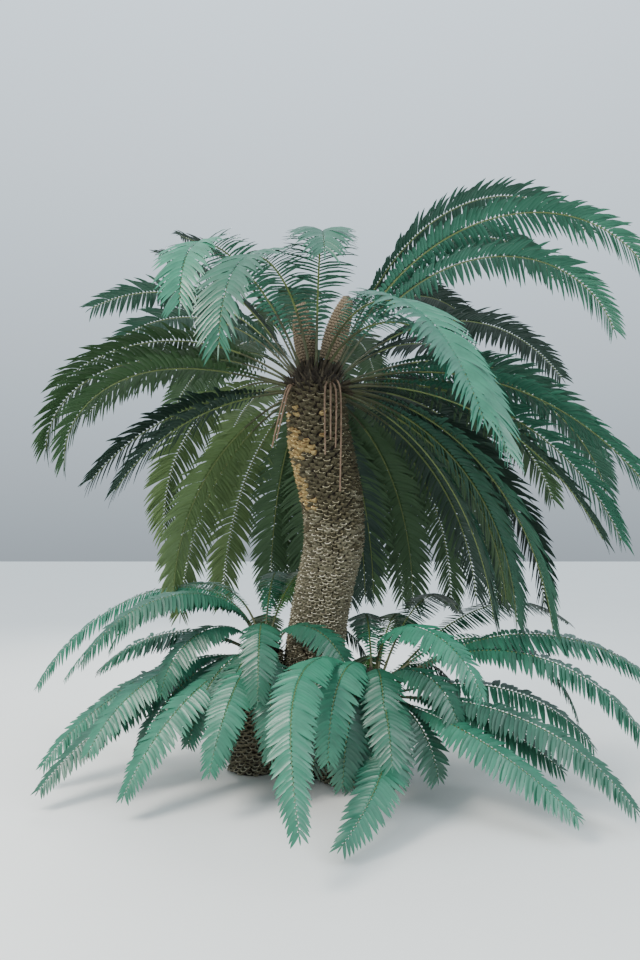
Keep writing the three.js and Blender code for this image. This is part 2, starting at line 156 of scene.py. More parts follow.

# Each frond, as in the source: compass direction, rise at the stem, rise at the tip, length, swing and bend,
# and after them the tone of its leaflets, their green with painted light and shade. The roll turns the
# blades of fronds that point right or left
TEAL, DEEP, GREEN, LIME, PALE = range(5)
ROSETTES = [
    {
        "name": "crown",
        "centre": (70, 0, 2500),
        "radius": 188,
        "scale": 1.0,
        "roll": 20,
        "fronds": [
            (12, 66, -45, 2700, 0, 2.1, TEAL),
            (-108, 64, -90, 1950, 0, 1.2, TEAL),
            (-88, 62, -52, 1700, 0, 1.3, TEAL),
            (140, 62, 24, 1950, 0, 1.3, DEEP),
            (98, 68, -30, 2150, 0, 1.3, GREEN),
            (52, 66, -25, 2250, 0, 1.3, DEEP),
            (-10, 62, -68, 2700, 0, 1.7, PALE),
            (-69, 62, -62, 2300, 0, 0.6, PALE),
            (-148, 68, -85, 1900, 60, 1.4, PALE),
            (166, 57, -22, 1850, 0, 1.2, TEAL),
            (30, 44, -42, 2500, 0, 1.3, DEEP),
            (74, 46, -45, 2350, 0, 1.3, GREEN),
            (120, 44, -50, 2300, 0, 1.3, GREEN),
            (178, 36, -45, 1800, 0, 1.2, GREEN),
            (-22, 15, -64, 2400, 0, 1, PALE),
            (-174, 17, -90, 1950, 0, 2.2, GREEN),
            (147, 26, -98, 1950, 0, 0.9, LIME),
            (14, 26, -70, 2450, 0, 1.3, TEAL),
            (42, 22, -76, 2400, 0, 1.3, DEEP),
            (64, 20, -78, 2300, 0, 1.3, DEEP),
            (88, 24, -76, 2300, 0, 1.3, GREEN),
            (118, 19, -82, 2300, 0, 1.3, LIME),
            (-24, -2, -84, 2200, 0, 0.8, TEAL),
            (4, 0, -86, 2200, 0, 0.9, DEEP),
            (28, -2, -86, 2200, 0, 0.9, GREEN),
            (60, -4, -86, 2150, 0, 0.8, GREEN),
            (78, -6, -86, 2150, 0, 0.8, DEEP),
            (100, -4, -86, 2150, 0, 0.8, GREEN),
            (124, -8, -86, 2100, 0, 0.8, LIME),
            (144, -14, -86, 2050, 0, 0.8, LIME),
            (166, -18, -88, 1700, 0, 0.8, LIME),
            (-168, -2, -54, 1500, 0, 1.2, DEEP),
        ],
    },
    {
        "name": "left",
        "foot": (-320, -60),
        "centre": (-270, -70, 740),
        "radius": 120,
        "scale": 0.8,
        "roll": -24,
        "fronds": [
            (114, 74, -58, 2450, 70, 0.56, PALE),
            (-130, 84, -62, 1450, -40, 0.75, TEAL),
            (-144, 14, -70, 1000, 0, 0.8, TEAL),
            (158, 24, -42, 1250, 10, 1, DEEP),
            (-178, -2, -50, 1450, 38, 1.2, PALE),
            (-160, -8, -44, 1480, 28, 1.2, TEAL),
            (-122, 2, -60, 1260, -10, 1, PALE),
            (70, 60, -50, 1500, 0, 1.2, GREEN),
        ],
    },
    {
        "name": "right",
        "foot": (270, -270),
        "centre": (420, -430, 560),
        "radius": 130,
        "scale": 0.84,
        "roll": -24,
        "fronds": [
            (-136, 64, -62, 1720, 65, 0.65, PALE),
            (-118, 82, -88, 1000, 14, 0.7, PALE),
            (-108, 60, -86, 850, 0, 0.6, TEAL),
            (-87, 40, -62, 800, 0, 0.8, TEAL),
            (-76, -15, -32, 1120, -58, 1, PALE),
            (-82, 86, -74, 1230, 52, 1, PALE),
            (-12, 44, -72, 1880, -2, 1, TEAL),
            (-44, -2, -36, 1250, 6, 1, PALE),
            (-23, 5, -51, 1500, -16, 1.6, TEAL),
            (12, 32, -50, 2200, 0, 1.2, TEAL),
            (38, 38, -30, 2100, 0, 1.2, DEEP),
            (74, 52, -50, 1500, 0, 1.1, GREEN),
            (-176, 78, -100, 900, 30, 0.7, PALE),
        ],
    },
]

# Short fronds over and round each sucker's stem: compass direction, rise, length as a share of the stem's height
# and tone, their green with painted light and shade. The left sucker takes as many from the front of the list as it
# has fronds
INNER_FRONDS = [
    (-88, 74, 1.3, TEAL),
    (-82, 30, 1.3, TEAL),
    (-104, 26, 1.3, TEAL),
    (-140, 68, 1.25, TEAL),
    (-40, 70, 1.25, TEAL),
    (92, 68, 1.3, GREEN),
    (-150, -5, 0.95, DEEP),
    (20, 66, 1.3, DEEP),
    (-50, 10, 1.1, TEAL),
    (140, 60, 1.3, GREEN),
    (60, -5, 0.95, DEEP),
    (120, -5, 0.95, DEEP),
    (170, 30, 1.2, DEEP),
]
INNER_TIP_RISE = -82
INNER_BEND = 0.8

# Fronds beside one of the source: turns to the side in degrees, then for each kind the share of that turn, what is
# added to the rise and to the tip's rise in degrees, and the length as a share of its own
SIDE_TURNS = (10, -9, 12, 8)
BESIDE_FIRST = (1, -5, -5, 0.93)
BESIDE_SECOND = (-0.7, -12, 0, 0.86)
BESIDE_ON_SUCKER = (2, 9, -4, 0.86)

# Where there are none or two of them, in degrees: none beside the steep fan at the crown's front left and at the
# right sucker's front, two in one sector of the crown's skirt, and none past it, where light shows between its fronds
FAN_RISE = 60
FAN_SECTOR = (-150, -80)
FRONT_SECTOR = (-140, -60)
SKIRT_RISE = 30
FULL_SECTOR = (-30, 110)

# Cones of the source: foot, lean and the compass direction of the lean
CONES = [
    ("cone_left", (35, 38, 2560), 8, 160),
    ("cone_right", (118, -52, 2560), 21, -32),
]
CONE_STALK_RADIUS = 26
CONE_STALK_LENGTH = 120
CONE_BODY_RADIUS = 80
CONE_BODY_LENGTH = 430
CONE_SWELL_SPAN = (0.22, 0.93)
CONE_FULLNESS = 0.62
CONE_POINT = 12

# Under a cone's scales: girth of the core as a share of the body, corners round it and rows. Then the scales: how
# much the body's slope and chance turn them, their stand as a share of the girth with its span of chance, the share
# of it that is sunk, and their width and height as shares of the room that each has
CONE_CORE_SHARE = 0.9
CONE_CORE_SIDES = 24
CONE_CORE_ROWS = 20
CONE_SLOPE = 0.62
CONE_SCALE_NOD = 0.35
CONE_SCALE_SPREAD = 0.06
CONE_SCALE_STAND = 0.16
CONE_SCALE_STANDS = (0.85, 1.15)
CONE_SCALE_SUNK = 0.8
CONE_SCALE_WIDTH = 1.06
CONE_SCALE_HEIGHT = 1.28

# Dry scales on a stem's top: turns on the dome and leans in degrees from the first to the last, distance from the
# axis as a share of the dome's, how far chance leans them in radians and pushes them aside, the span of their sizes,
# and the size above which they are dark
DRY_SCALE_TURNS = (-30, 86)
DRY_SCALE_LEANS = (20, 84)
DRY_SCALE_SEAT = 0.98
DRY_SCALE_LEAN_SPREAD = 0.3
DRY_SCALE_ASIDE = 0.35
DRY_SCALE_SIZES = (0.6, 1.25)
DARK_SCALE_ABOVE = 0.92

# Dry stalks of the source: the root that a group shares on the trunk, then the knee and tip of each
STALK_GROUPS = [
    (
        "stalks_right",
        (165, -110, 2520),
        [
            ((132, -235, 2440), (134, -240, 2020)),
            ((168, -232, 2430), (168, -246, 2115)),
            ((203, -215, 2430), (200, -240, 2065)),
            ((232, -190, 2440), (229, -242, 1785)),
        ],
    ),
    (
        "stalks_left",
        (-75, -110, 2500),
        [
            ((-112, -160, 2430), (-182, -185, 2125)),
            ((-128, -135, 2440), (-215, -150, 2075)),
        ],
    ),
]

# Lips and hollows of the leaf bases in the three tones of bark, the gold one with painted sunlight and the hollows
# darker as painted shade in their recess: colour, roughness and colour of the spots
LIPS = [
    ("lip_grey", (226, 220, 198), 0.8, (152, 144, 118)),
    ("lip_brown", (204, 196, 164), 0.85, (122, 112, 82)),
    ("lip_gold", (250, 230, 172), 0.8, (204, 164, 98)),
]
HOLLOWS_PAINTED_SHADE = [
    ("hollow_grey", (82, 75, 60), 0.92, (42, 37, 29)),
    ("hollow_brown", (50, 44, 30), 0.92, (25, 21, 15)),
    ("hollow_gold", (112, 76, 38), 0.9, (60, 40, 20)),
]

# Soft lights: place, target, size, share of the key light's power and colour. Then the camera
LIGHTS = [
    ("key_light", (-3.6, -4.0, 5.6), (0.1, 0, 1.7), 2.6, 1.0, (1.0, 0.96, 0.9)),
    ("fill_light", (4.2, -4.4, 3.2), (0.1, 0, 1.5), 3.0, 0.35, (0.9, 0.96, 1.0)),
    ("back_light", (-1.5, 5.0, 5.4), (0.1, 0, 2.2), 2.6, 0.6, (1.0, 0.98, 0.94)),
]
CAMERA_PLACE = (0.10, -5.0, 1.55)
CAMERA_PITCH = 3.7
CAMERA_LENS = 28
CAMERA_SENSOR = 36

# The pale surround: its colour, and two heights of the view with the strength at each
SURROUND_COLOUR = (0.78, 0.90, 1.0, 1)
SURROUND_STRENGTH = (-0.1, 0.9, 0.42, 1.9)


def linear(red, green, blue):
    """A display colour from 0 to 255 as the linear colour that nodes use."""

    def channel(value):
        value /= 255
        return value / 12.92 if value <= 0.04045 else ((value + 0.055) / 1.055) ** 2.4

    return tuple(channel(value) for value in (red, green, blue))


def mix(first, second, share):
    return first + (second - first) * share


def clamp(value, low, high):
    return max(low, min(high, value))


def inside(value, span):
    return span[0] < value < span[1]


def wired(operation, swapped=False):
    """A method that runs this maths on a wire and, where it takes one, another value."""
    if swapped:
        return lambda self, other: self.maths(operation, other, self)
    return lambda self, other=None: self.maths(operation, self, other)


class Wire:
    """A socket in a node tree, so that maths on it reads as an expression."""

    __add__, __radd__ = wired("ADD"), wired("ADD", swapped=True)
    __sub__, __rsub__ = wired("SUBTRACT"), wired("SUBTRACT", swapped=True)
    __mul__ = wired("MULTIPLY")
    __truediv__ = wired("DIVIDE")
    __pow__ = wired("POWER")
    sine = wired("SINE")
    cosine = wired("COSINE")
    floor = wired("FLOOR")
    above = wired("GREATER_THAN")
    most = wired("MAXIMUM")

    def __init__(self, graph, socket):
        self.graph = graph
        self.socket = socket

    def __neg__(self):
        return self * -1.0

    def maths(self, operation, first, second):
        vectors = [isinstance(value, Wire) and value.socket.type == "VECTOR" for value in (first, second)]
        if not any(vectors):
            return self.graph.node("ShaderNodeMath", (first, second), operation=operation)
        if operation == "MULTIPLY" and not vectors[1]:
            return self.graph.node("ShaderNodeVectorMath", {"Vector": first, "Scale": second}, operation="SCALE")
        return self.graph.node("ShaderNodeVectorMath", (first, second), operation=operation)


class Graph:
    """A node tree that is being built, for a material or for growing geometry."""

    def __init__(self, tree):
        self.tree = tree

    def plug(self, socket, value):
        if isinstance(value, Wire):
            self.tree.links.new(value.socket, socket)
        elif value is not None:
            socket.default_value = value

    def node(self, kind, inputs=(), output=None, **settings):
        """A node with its settings made first and then its inputs, given in order or by name."""
        made = self.tree.nodes.new(kind)
        for key, value in settings.items():
            setattr(made, key, value)
        sockets = [socket for socket in made.inputs if socket.enabled]
        if isinstance(inputs, dict):
            named = {socket.name: socket for socket in reversed(sockets)}
            sockets = [named[name] for name in inputs]
            inputs = inputs.values()
        for socket, value in zip(sockets, inputs):
            self.plug(socket, value)
        outputs = [socket for socket in made.outputs if socket.enabled and output in (None, socket.name)]
        return Wire(self, outputs[0]) if outputs else made

    def noise(self, place, scale, detail, roughness=None, output=None):
        inputs = {"Vector": place, "Scale": scale, "Detail": detail, "Roughness": roughness}
        return self.node("ShaderNodeTexNoise", inputs, output)

    def height(self, place):
        return self.node("ShaderNodeSeparateXYZ", (place,), "Z")

    def map_range(self, value, low, high, to_low=0.0, to_high=1.0, kind="LINEAR"):
        return self.node("ShaderNodeMapRange", (value, low, high, to_low, to_high), interpolation_type=kind)


class Growth(Graph):
    """A geometry tree with named inputs, whose result replaces the mesh that it runs on."""

    def __init__(self, name):
        super().__init__(bpy.data.node_groups.new(name, "GeometryNodeTree"))
        self.values = {}
        for way in ("INPUT", "OUTPUT"):
            self.tree.interface.new_socket("Geometry", in_out=way, socket_type="NodeSocketGeometry")

    def given(self, name, value):
        """A named input of the tree, with the kind of socket that its value needs."""
        kinds = {
            int: "NodeSocketInt",
            float: "NodeSocketFloat",
            bpy.types.Object: "NodeSocketObject",
            bpy.types.Material: "NodeSocketMaterial",
        }
        kind = next(kinds[held] for held in kinds if isinstance(value, held))
        socket = self.tree.interface.new_socket(name, in_out="INPUT", socket_type=kind)
        self.values[socket.identifier] = value
        return self.node("NodeGroupInput", output=name)

    def given_all(self, settings, keys):
        """Named inputs from several settings, each called what its setting is called."""
        named = settings.bl_rna.properties
        return [self.given(named[key].name, getattr(settings, key)) for key in keys.split()]

    def feet(self):
        """The points of the mesh that the tree runs on."""
        return self.node("GeometryNodeMeshToPoints", {"Mesh": self.node("NodeGroupInput", output="Geometry")})

    def lines(self):
        """The edges of the mesh that the tree runs on, as curves."""
        return self.node("GeometryNodeMeshToCurve", {"Mesh": self.node("NodeGroupInput", output="Geometry")})

    def attribute(self, name, data_type="FLOAT"):
        return self.node("GeometryNodeInputNamedAttribute", {"Name": name}, data_type=data_type)

    def direction(self, name):
        return self.attribute(name, "FLOAT_VECTOR")

    def store(self, geometry, name, value):
        inputs = {"Geometry": geometry, "Name": name, "Value": value}
        return self.node("GeometryNodeStoreNamedAttribute", inputs, data_type="FLOAT", domain="POINT")

    def combine(self, x, y, z):
        return self.node("ShaderNodeCombineXYZ", (x, y, z))

    def upward(self, z):
        return self.combine(0.0, 0.0, z)

    def chance(self, low, high, seed):
        inputs = {"Min": low, "Max": high, "Seed": seed}
        return self.node("FunctionNodeRandomValue", inputs, data_type="FLOAT")

    def spread(self, reach, seed):
        """A chance value up to this far on either side of zero."""
        return self.chance(-reach, reach, seed)

    def turned(self, primary, secondary, main, other):
        """The rotation that lays the main local axis along one direction and the other near a second."""
        axes = {"primary_axis": main, "secondary_axis": other}
        return self.node("FunctionNodeAxesToRotation", (primary, secondary), **axes)

    def moved(self, geometry, **where):
        return self.node("GeometryNodeSetPosition", {"Geometry": geometry, **where})

    def keep_above(self, geometry, lowest):
        """Lifts to this height every point that would lie lower."""
        height = self.height(self.node("GeometryNodeInputPosition"))
        return self.moved(geometry, Offset=self.upward((lowest - height).most(0.0)))

    def realize(self, geometry):
        return self.node("GeometryNodeRealizeInstances", {"Geometry": geometry})

    def scatter(self, points, shape, rotation, scale):
        """A copy of a shape on each point, as plain faces."""
        copied = self.node("GeometryNodeObjectInfo", {"Object": self.given(shape.name, shape)}, "Geometry")
        inputs = {"Points": points, "Instance": copied, "Rotation": rotation, "Scale": scale}
        return self.realize(self.node("GeometryNodeInstanceOnPoints", inputs))

    def circle(self, sides):
        return self.node("GeometryNodeCurvePrimitiveCircle", {"Resolution": sides, "Radius": 1.0}, "Curve")

    def tube(self, curve, section):
        """A closed tube along a curve, as thick as the girth of its points."""
        inputs = {"Curve": curve, "Profile Curve": section, "Scale": self.attribute("girth"), "Fill Caps": True}
        return self.realize(self.node("GeometryNodeCurveToMesh", inputs))

    def equal(self, value, number):
        """1 where a value is this whole number, 0 elsewhere."""
        return self.node("ShaderNodeMath", (value, number, 0.5), operation="COMPARE")

    def paint(self, geometry, choices):
        """Gives each material to the faces where its test, if it has one, is true."""
        for material, test in choices:
            inputs = {"Geometry": geometry, "Material": self.given(material.name, material), "Selection": test}
            geometry = self.node("GeometryNodeSetMaterial", inputs)
        return geometry

    def paint_table(self, geometry, table, row_value, column_value):
        """Gives each face the material in its row and column of a table."""
        choices = [
            (material, self.equal(row_value, row) * self.equal(column_value, column))
            for row, materials in enumerate(table)
            for column, material in enumerate(materials)
        ]
        return self.paint(geometry, choices)

    def run(self, geometry, piece):
        """Grows this geometry from the piece's carrier mesh and leaves the piece a plain mesh."""
        self.plug(self.node("NodeGroupOutput").inputs["Geometry"], geometry)
        modifier = piece.modifiers.new("Growth", "NODES")
        modifier.node_group = self.tree
        for identifier, value in self.values.items():
            modifier[identifier] = value
        depsgraph = bpy.context.evaluated_depsgraph_get()
        mesh = bpy.data.meshes.new_from_object(
            piece.evaluated_get(depsgraph), preserve_all_data_layers=True, depsgraph=depsgraph
        )
        piece.modifiers.remove(modifier)
        old = piece.data
        piece.data = mesh
        mesh.name = piece.name
        bpy.data.meshes.remove(old)
        if not mesh.polygons:
            raise RuntimeError(f"{piece.name} grew no faces")
        return piece


def mesh_object(name, points, faces=(), edges=(), on_points=None, on_faces=None):
    """An object from points and faces, with float or vector values kept on its points or faces."""
    mesh = bpy.data.meshes.new(name)
    mesh.from_pydata([tuple(point) for point in points], list(edges), [tuple(face) for face in faces])
    for domain, held in (("POINT", on_points), ("FACE", on_faces)):
        for key, values in (held or {}).items():
            is_vector = isinstance(values[0], Vector)
            layer = mesh.attributes.new(key, "FLOAT_VECTOR" if is_vector else "FLOAT", domain)
            flat = [number for value in values for number in value] if is_vector else list(values)
            layer.data.foreach_set("vector" if is_vector else "value", flat)
    mesh.update()
    piece = bpy.data.objects.new(name, mesh)
    bpy.context.scene.collection.objects.link(piece)
    return piece


def shade_smooth(piece):
    piece.data.polygons.foreach_set("use_smooth", [True] * len(piece.data.polygons))


def discard(piece):
    mesh = piece.data
    bpy.data.objects.remove(piece)
    bpy.data.meshes.remove(mesh)


def hand_over(piece, nodes):
    """Ties a finished piece to the plant's body and hides the solids that it stands for."""
    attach(piece, BODY)
    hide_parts(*nodes)


def skin(rings, top):
    """The points and faces of a closed skin over rings of equal size, from a flat foot to a point at the top."""
    sides = len(rings[0])
    points = [point for ring in rings for point in ring]
    faces = []
    for row in range(len(rings) - 1):
        for side in range(sides):
            ahead = (side + 1) % sides
            near = row * sides
            far = near + sides
            faces.append((near + side, near + ahead, far + ahead, far + side))
    last = (len(rings) - 1) * sides
    points.append(sum(rings[0], Vector()) / sides)
    faces += [((side + 1) % sides, side, len(points) - 1) for side in range(sides)]
    points.append(top)
    faces += [(last + side, last + (side + 1) % sides, len(points) - 1) for side in range(sides)]
    return points, faces


def compass(angle):
    """The level direction at an angle from the right."""
    return Vector((math.cos(angle), math.sin(angle), 0))


def round_ring(centre, radius, sides):
    return [centre + radius * compass(2 * math.pi * side / sides) for side in range(sides)]


def smooth_step(start, start_slope, end, end_slope, share):
    """A value between two ends, on the curve that has these slopes there."""
    return (
        start * (1 + 2 * share) * (1 - share) ** 2
        + start_slope * share * (1 - share) ** 2
        + end * share * share * (3 - 2 * share)
        + end_slope * share * share * (share - 1)
    )


def smooth_line(values, heights, height):
    """A value between stations, on a curve that passes through each of them."""
    last = len(heights) - 1
    i = next((i for i in range(last) if height <= heights[i + 1]), last - 1)
    span = heights[i + 1] - heights[i]

    def slope(k):
        low, high = max(k - 1, 0), min(k + 1, last)
        return span * (values[high] - values[low]) / (heights[high] - heights[low])

    return smooth_step(values[i], slope(i), values[i + 1], slope(i + 1), (height - heights[i]) / span)


def stem_at(stations, height):
    """The middle of a stem and its radius at a height, in metres."""
    heights, *measures = zip(*stations)
    x, y, radius = (smooth_line(values, heights, height) for values in measures)
    return Vector((x, y, height)) * MILLIMETRE, radius * MILLIMETRE


def stem_rows():
    """The node and the stations of each stem, the trunk first."""
    rows = [("trunk", TRUNK_STATIONS)]
    for rosette in ROSETTES[1:]:
        x, y, height = rosette["centre"]
        foot = rosette["foot"]
        waist = [mix(foot[k], (x, y)[k], SUCKER_WAIST_SHIFT) for k in (0, 1)]
        waist_radius = mix(SUCKER_FOOT_RADIUS, rosette["radius"], SUCKER_WAIST_TAPER)
        stations = [
            (0, *foot, SUCKER_FOOT_RADIUS),
            (height / 2, *waist, waist_radius),
            (height, x, y, rosette["radius"]),
        ]
        rows.append((f"sucker_{rosette['name']}", stations))
    return rows


def look(name, base, roughness, spots, bump=None, coat=0.0):
    """A material whose colour and roughness vary a little in noise, with an optional fine bump."""
    material = bpy.data.materials.new(name)
    material.use_nodes = True
    material.node_tree.nodes.clear()
    graph = Graph(material.node_tree)
    place = graph.node("ShaderNodeTexCoord", output="Object")
    spot_colour, spot_scale, spot_share = spots
    noise = graph.noise(place, spot_scale, 4.0, 0.6)
    edge = 0.22
    mask = graph.map_range(noise, 0.5 - edge, 0.5 + edge) * spot_share
    mixed = {"Factor": mask, "A": (*base, 1), "B": (*spot_colour, 1)}
    inputs = {
        "Base Color": graph.node("ShaderNodeMix", mixed, data_type="RGBA"),
        "Roughness": roughness + (noise - 0.5) * 0.2,
    }
    if bump:
        scale, distance = bump
        grain = {"Strength": 0.6, "Distance": distance, "Height": graph.noise(place, scale, 5.0, 0.65)}
        inputs["Normal"] = graph.node("ShaderNodeBump", grain)
    if coat:
        inputs["Coat Weight"] = coat
        inputs["Coat Roughness"] = 0.2
    shader = graph.node("ShaderNodeBsdfPrincipled", inputs)
    graph.node("ShaderNodeOutputMaterial", {"Surface": shader})
    return material


class StemSettings(bpy.types.PropertyGroup):
    trunk_bases: bpy.props.IntProperty(
        name="Trunk leaf bases", description="Old leaf bases round the trunk", default=3300, min=1
    )
    sucker_bases: bpy.props.IntProperty(
        name="Sucker leaf bases", description="Old leaf bases round each sucker", default=620, min=1
    )
    base_width: bpy.props.FloatProperty(
        name="Base width", description="Width of an old leaf base", default=0.054, unit="LENGTH"
    )
    base_height: bpy.props.FloatProperty(
        name="Base height", description="Height of an old leaf base", default=0.036, unit="LENGTH"
    )
    base_length: bpy.props.FloatProperty(
        name="Base length", description="How far an old leaf base stands out", default=0.036, unit="LENGTH"
    )
    base_tilt: bpy.props.FloatProperty(
        name="Base tilt", description="How far an old leaf base points up", default=math.radians(34), subtype="ANGLE"
    )
    grey: bpy.props.FloatVectorProperty(
        name="Grey bark", description="Colour of the lower bark", default=linear(142, 135, 110), subtype="COLOR"
    )
    brown: bpy.props.FloatVectorProperty(
        name="Brown bark", description="Colour of the bark near the crown", default=linear(98, 90, 66), subtype="COLOR"
    )
    # Golden bark is partly tan dry bases and partly painted sunlight
    gold_and_painted_sun: bpy.props.FloatVectorProperty(
        name="Golden bark", description="Colour of the warm patch", default=linear(190, 166, 114), subtype="COLOR"
    )


class FrondSettings(bpy.types.PropertyGroup):
    pitch: bpy.props.FloatProperty(
        name="Leaflet pitch", description="Distance between pairs of leaflets", default=0.028, unit="LENGTH"
    )
    length: bpy.props.FloatProperty(
        name="Leaflet length", description="Length of the longest leaflets", default=0.255, unit="LENGTH"
    )
    width: bpy.props.FloatProperty(
        name="Leaflet width", description="Width of the longest leaflets", default=0.028, unit="LENGTH"
    )
    sucker_length: bpy.props.FloatProperty(
        name="Sucker leaflet length", description="Share of the leaflet length on the suckers", default=0.72
    )
    sucker_width: bpy.props.FloatProperty(
        name="Sucker leaflet width", description="Share of the leaflet width on the suckers", default=1.15
    )
    sucker_sweep: bpy.props.FloatProperty(
        name="Sucker leaflet sweep", description="Sweep added on suckers", default=math.radians(-14), subtype="ANGLE"
    )
    lift: bpy.props.FloatProperty(
        name="Leaflet lift", description="How far leaflets rise", default=math.radians(14), subtype="ANGLE"
    )
    sag: bpy.props.FloatProperty(
        name="Leaflet sag", description="How far a leaflet's tip hangs, as a share of its length", default=0.34
    )
    sucker_lift: bpy.props.FloatProperty(
        name="Sucker leaflet lift", description="Lift on the suckers", default=math.radians(-18), subtype="ANGLE"
    )
    sucker_sag: bpy.props.FloatProperty(
        name="Sucker leaflet sag", description="Leaflet sag on the suckers", default=0.08
    )
    # Leaflet tones are leaf green with painted light: teal with painted sky reflection, deep as painted shade, green
    # and lime with painted light through the leaflets, pale with a painted sheen
    teal: bpy.props.FloatVectorProperty(
        name="Teal leaf", description="Leaflets that face the sky", default=linear(38, 92, 70), subtype="COLOR"
    )
    deep: bpy.props.FloatVectorProperty(
        name="Deep leaf", description="Leaflets in the shade", default=linear(24, 62, 45), subtype="COLOR"
    )
    green: bpy.props.FloatVectorProperty(
        name="Green leaf", description="Leaflets behind the trunk", default=linear(60, 98, 50), subtype="COLOR"
    )
    lime: bpy.props.FloatVectorProperty(
        name="Lime leaf", description="Leaflets with light through them", default=linear(84, 110, 54), subtype="COLOR"
    )
    pale: bpy.props.FloatVectorProperty(
        name="Pale leaf", description="Broad leaflets with a pale sheen", default=linear(47, 115, 89), subtype="COLOR"
    )
    rib: bpy.props.FloatVectorProperty(
        name="Rib", description="Colour of the ribs", default=linear(92, 104, 52), subtype="COLOR"
    )


class ConeSettings(bpy.types.PropertyGroup):
    rows: bpy.props.IntProperty(name="Rows", description="Rows of scales on a cone", default=22, min=2)
    around: bpy.props.IntProperty(name="Scales in a row", description="Scales in each row", default=18, min=3)
    tan: bpy.props.FloatVectorProperty(
        name="Scale", description="Colour of the cone scales", default=linear(122, 105, 82), subtype="COLOR"
    )
    # The scale side colour is painted shade between the scales, and the cone's stalk and body take it too
    dark: bpy.props.FloatVectorProperty(
        name="Scale side", description="Colour between the cone scales", default=linear(52, 45, 34), subtype="COLOR"
    )


class StalkSettings(bpy.types.PropertyGroup):
    radius: bpy.props.FloatProperty(
        name="Radius", description="Radius of a dry stalk", default=0.0065, unit="LENGTH"
    )
    colour: bpy.props.FloatVectorProperty(
        name="Stalk", description="Colour of the dry stalks", default=linear(128, 106, 86), subtype="COLOR"
    )
    crown_scales: bpy.props.IntProperty(
        name="Crown scales", description="Dry pointed scales between the leaf stalks", default=420, min=1
    )


class StudioSettings(bpy.types.PropertyGroup):
    floor_size: bpy.props.FloatProperty(
        name="Floor size", description="Side of the floor", default=60.0, unit="LENGTH"
    )
    floor_colour: bpy.props.FloatVectorProperty(
        name="Floor", description="Colour of the floor", default=linear(226, 226, 222), subtype="COLOR"
    )
    key_power: bpy.props.FloatProperty(
        name="Key light", description="Power of the large soft light", default=520.0, unit="POWER"
    )


def leaf_base_shape():
    """One old leaf base along local Z: a stub with a hollow end that slants back from its long lower lip."""
    lip = -0.46
    outline = [(0.5, 0.05), (0.24, 0.42), (-0.24, 0.42), (-0.5, 0.05), (-0.27, lip), (0.27, lip)]
    slant = 0.55
    levels = [(-0.6, 0.8, 0.0), (0.5, 1.0, 0.3), (1.0, 0.93, 1.0), (0.93, 0.68, 1.0)]
    rings = [
        [Vector((x * grown, y * grown, z - slant * leaning * (y - lip))) for x, y in outline]
        for z, grown, leaning in levels
    ]
    points, faces = skin(rings, Vector((0, 0, 0.3)))
    sides = len(outline)
    kinds = []
    for number, face in enumerate(faces):
        row, side = divmod(number, sides)
        in_hollow = len(points) - 1 in face
        on_lip = row == len(rings) - 2 and side >= sides // 2
        kinds.append(2.0 if in_hollow else 1.0 if on_lip else 0.0)
    return mesh_object("leaf_base_shape", points, faces, on_faces={"part": kinds})


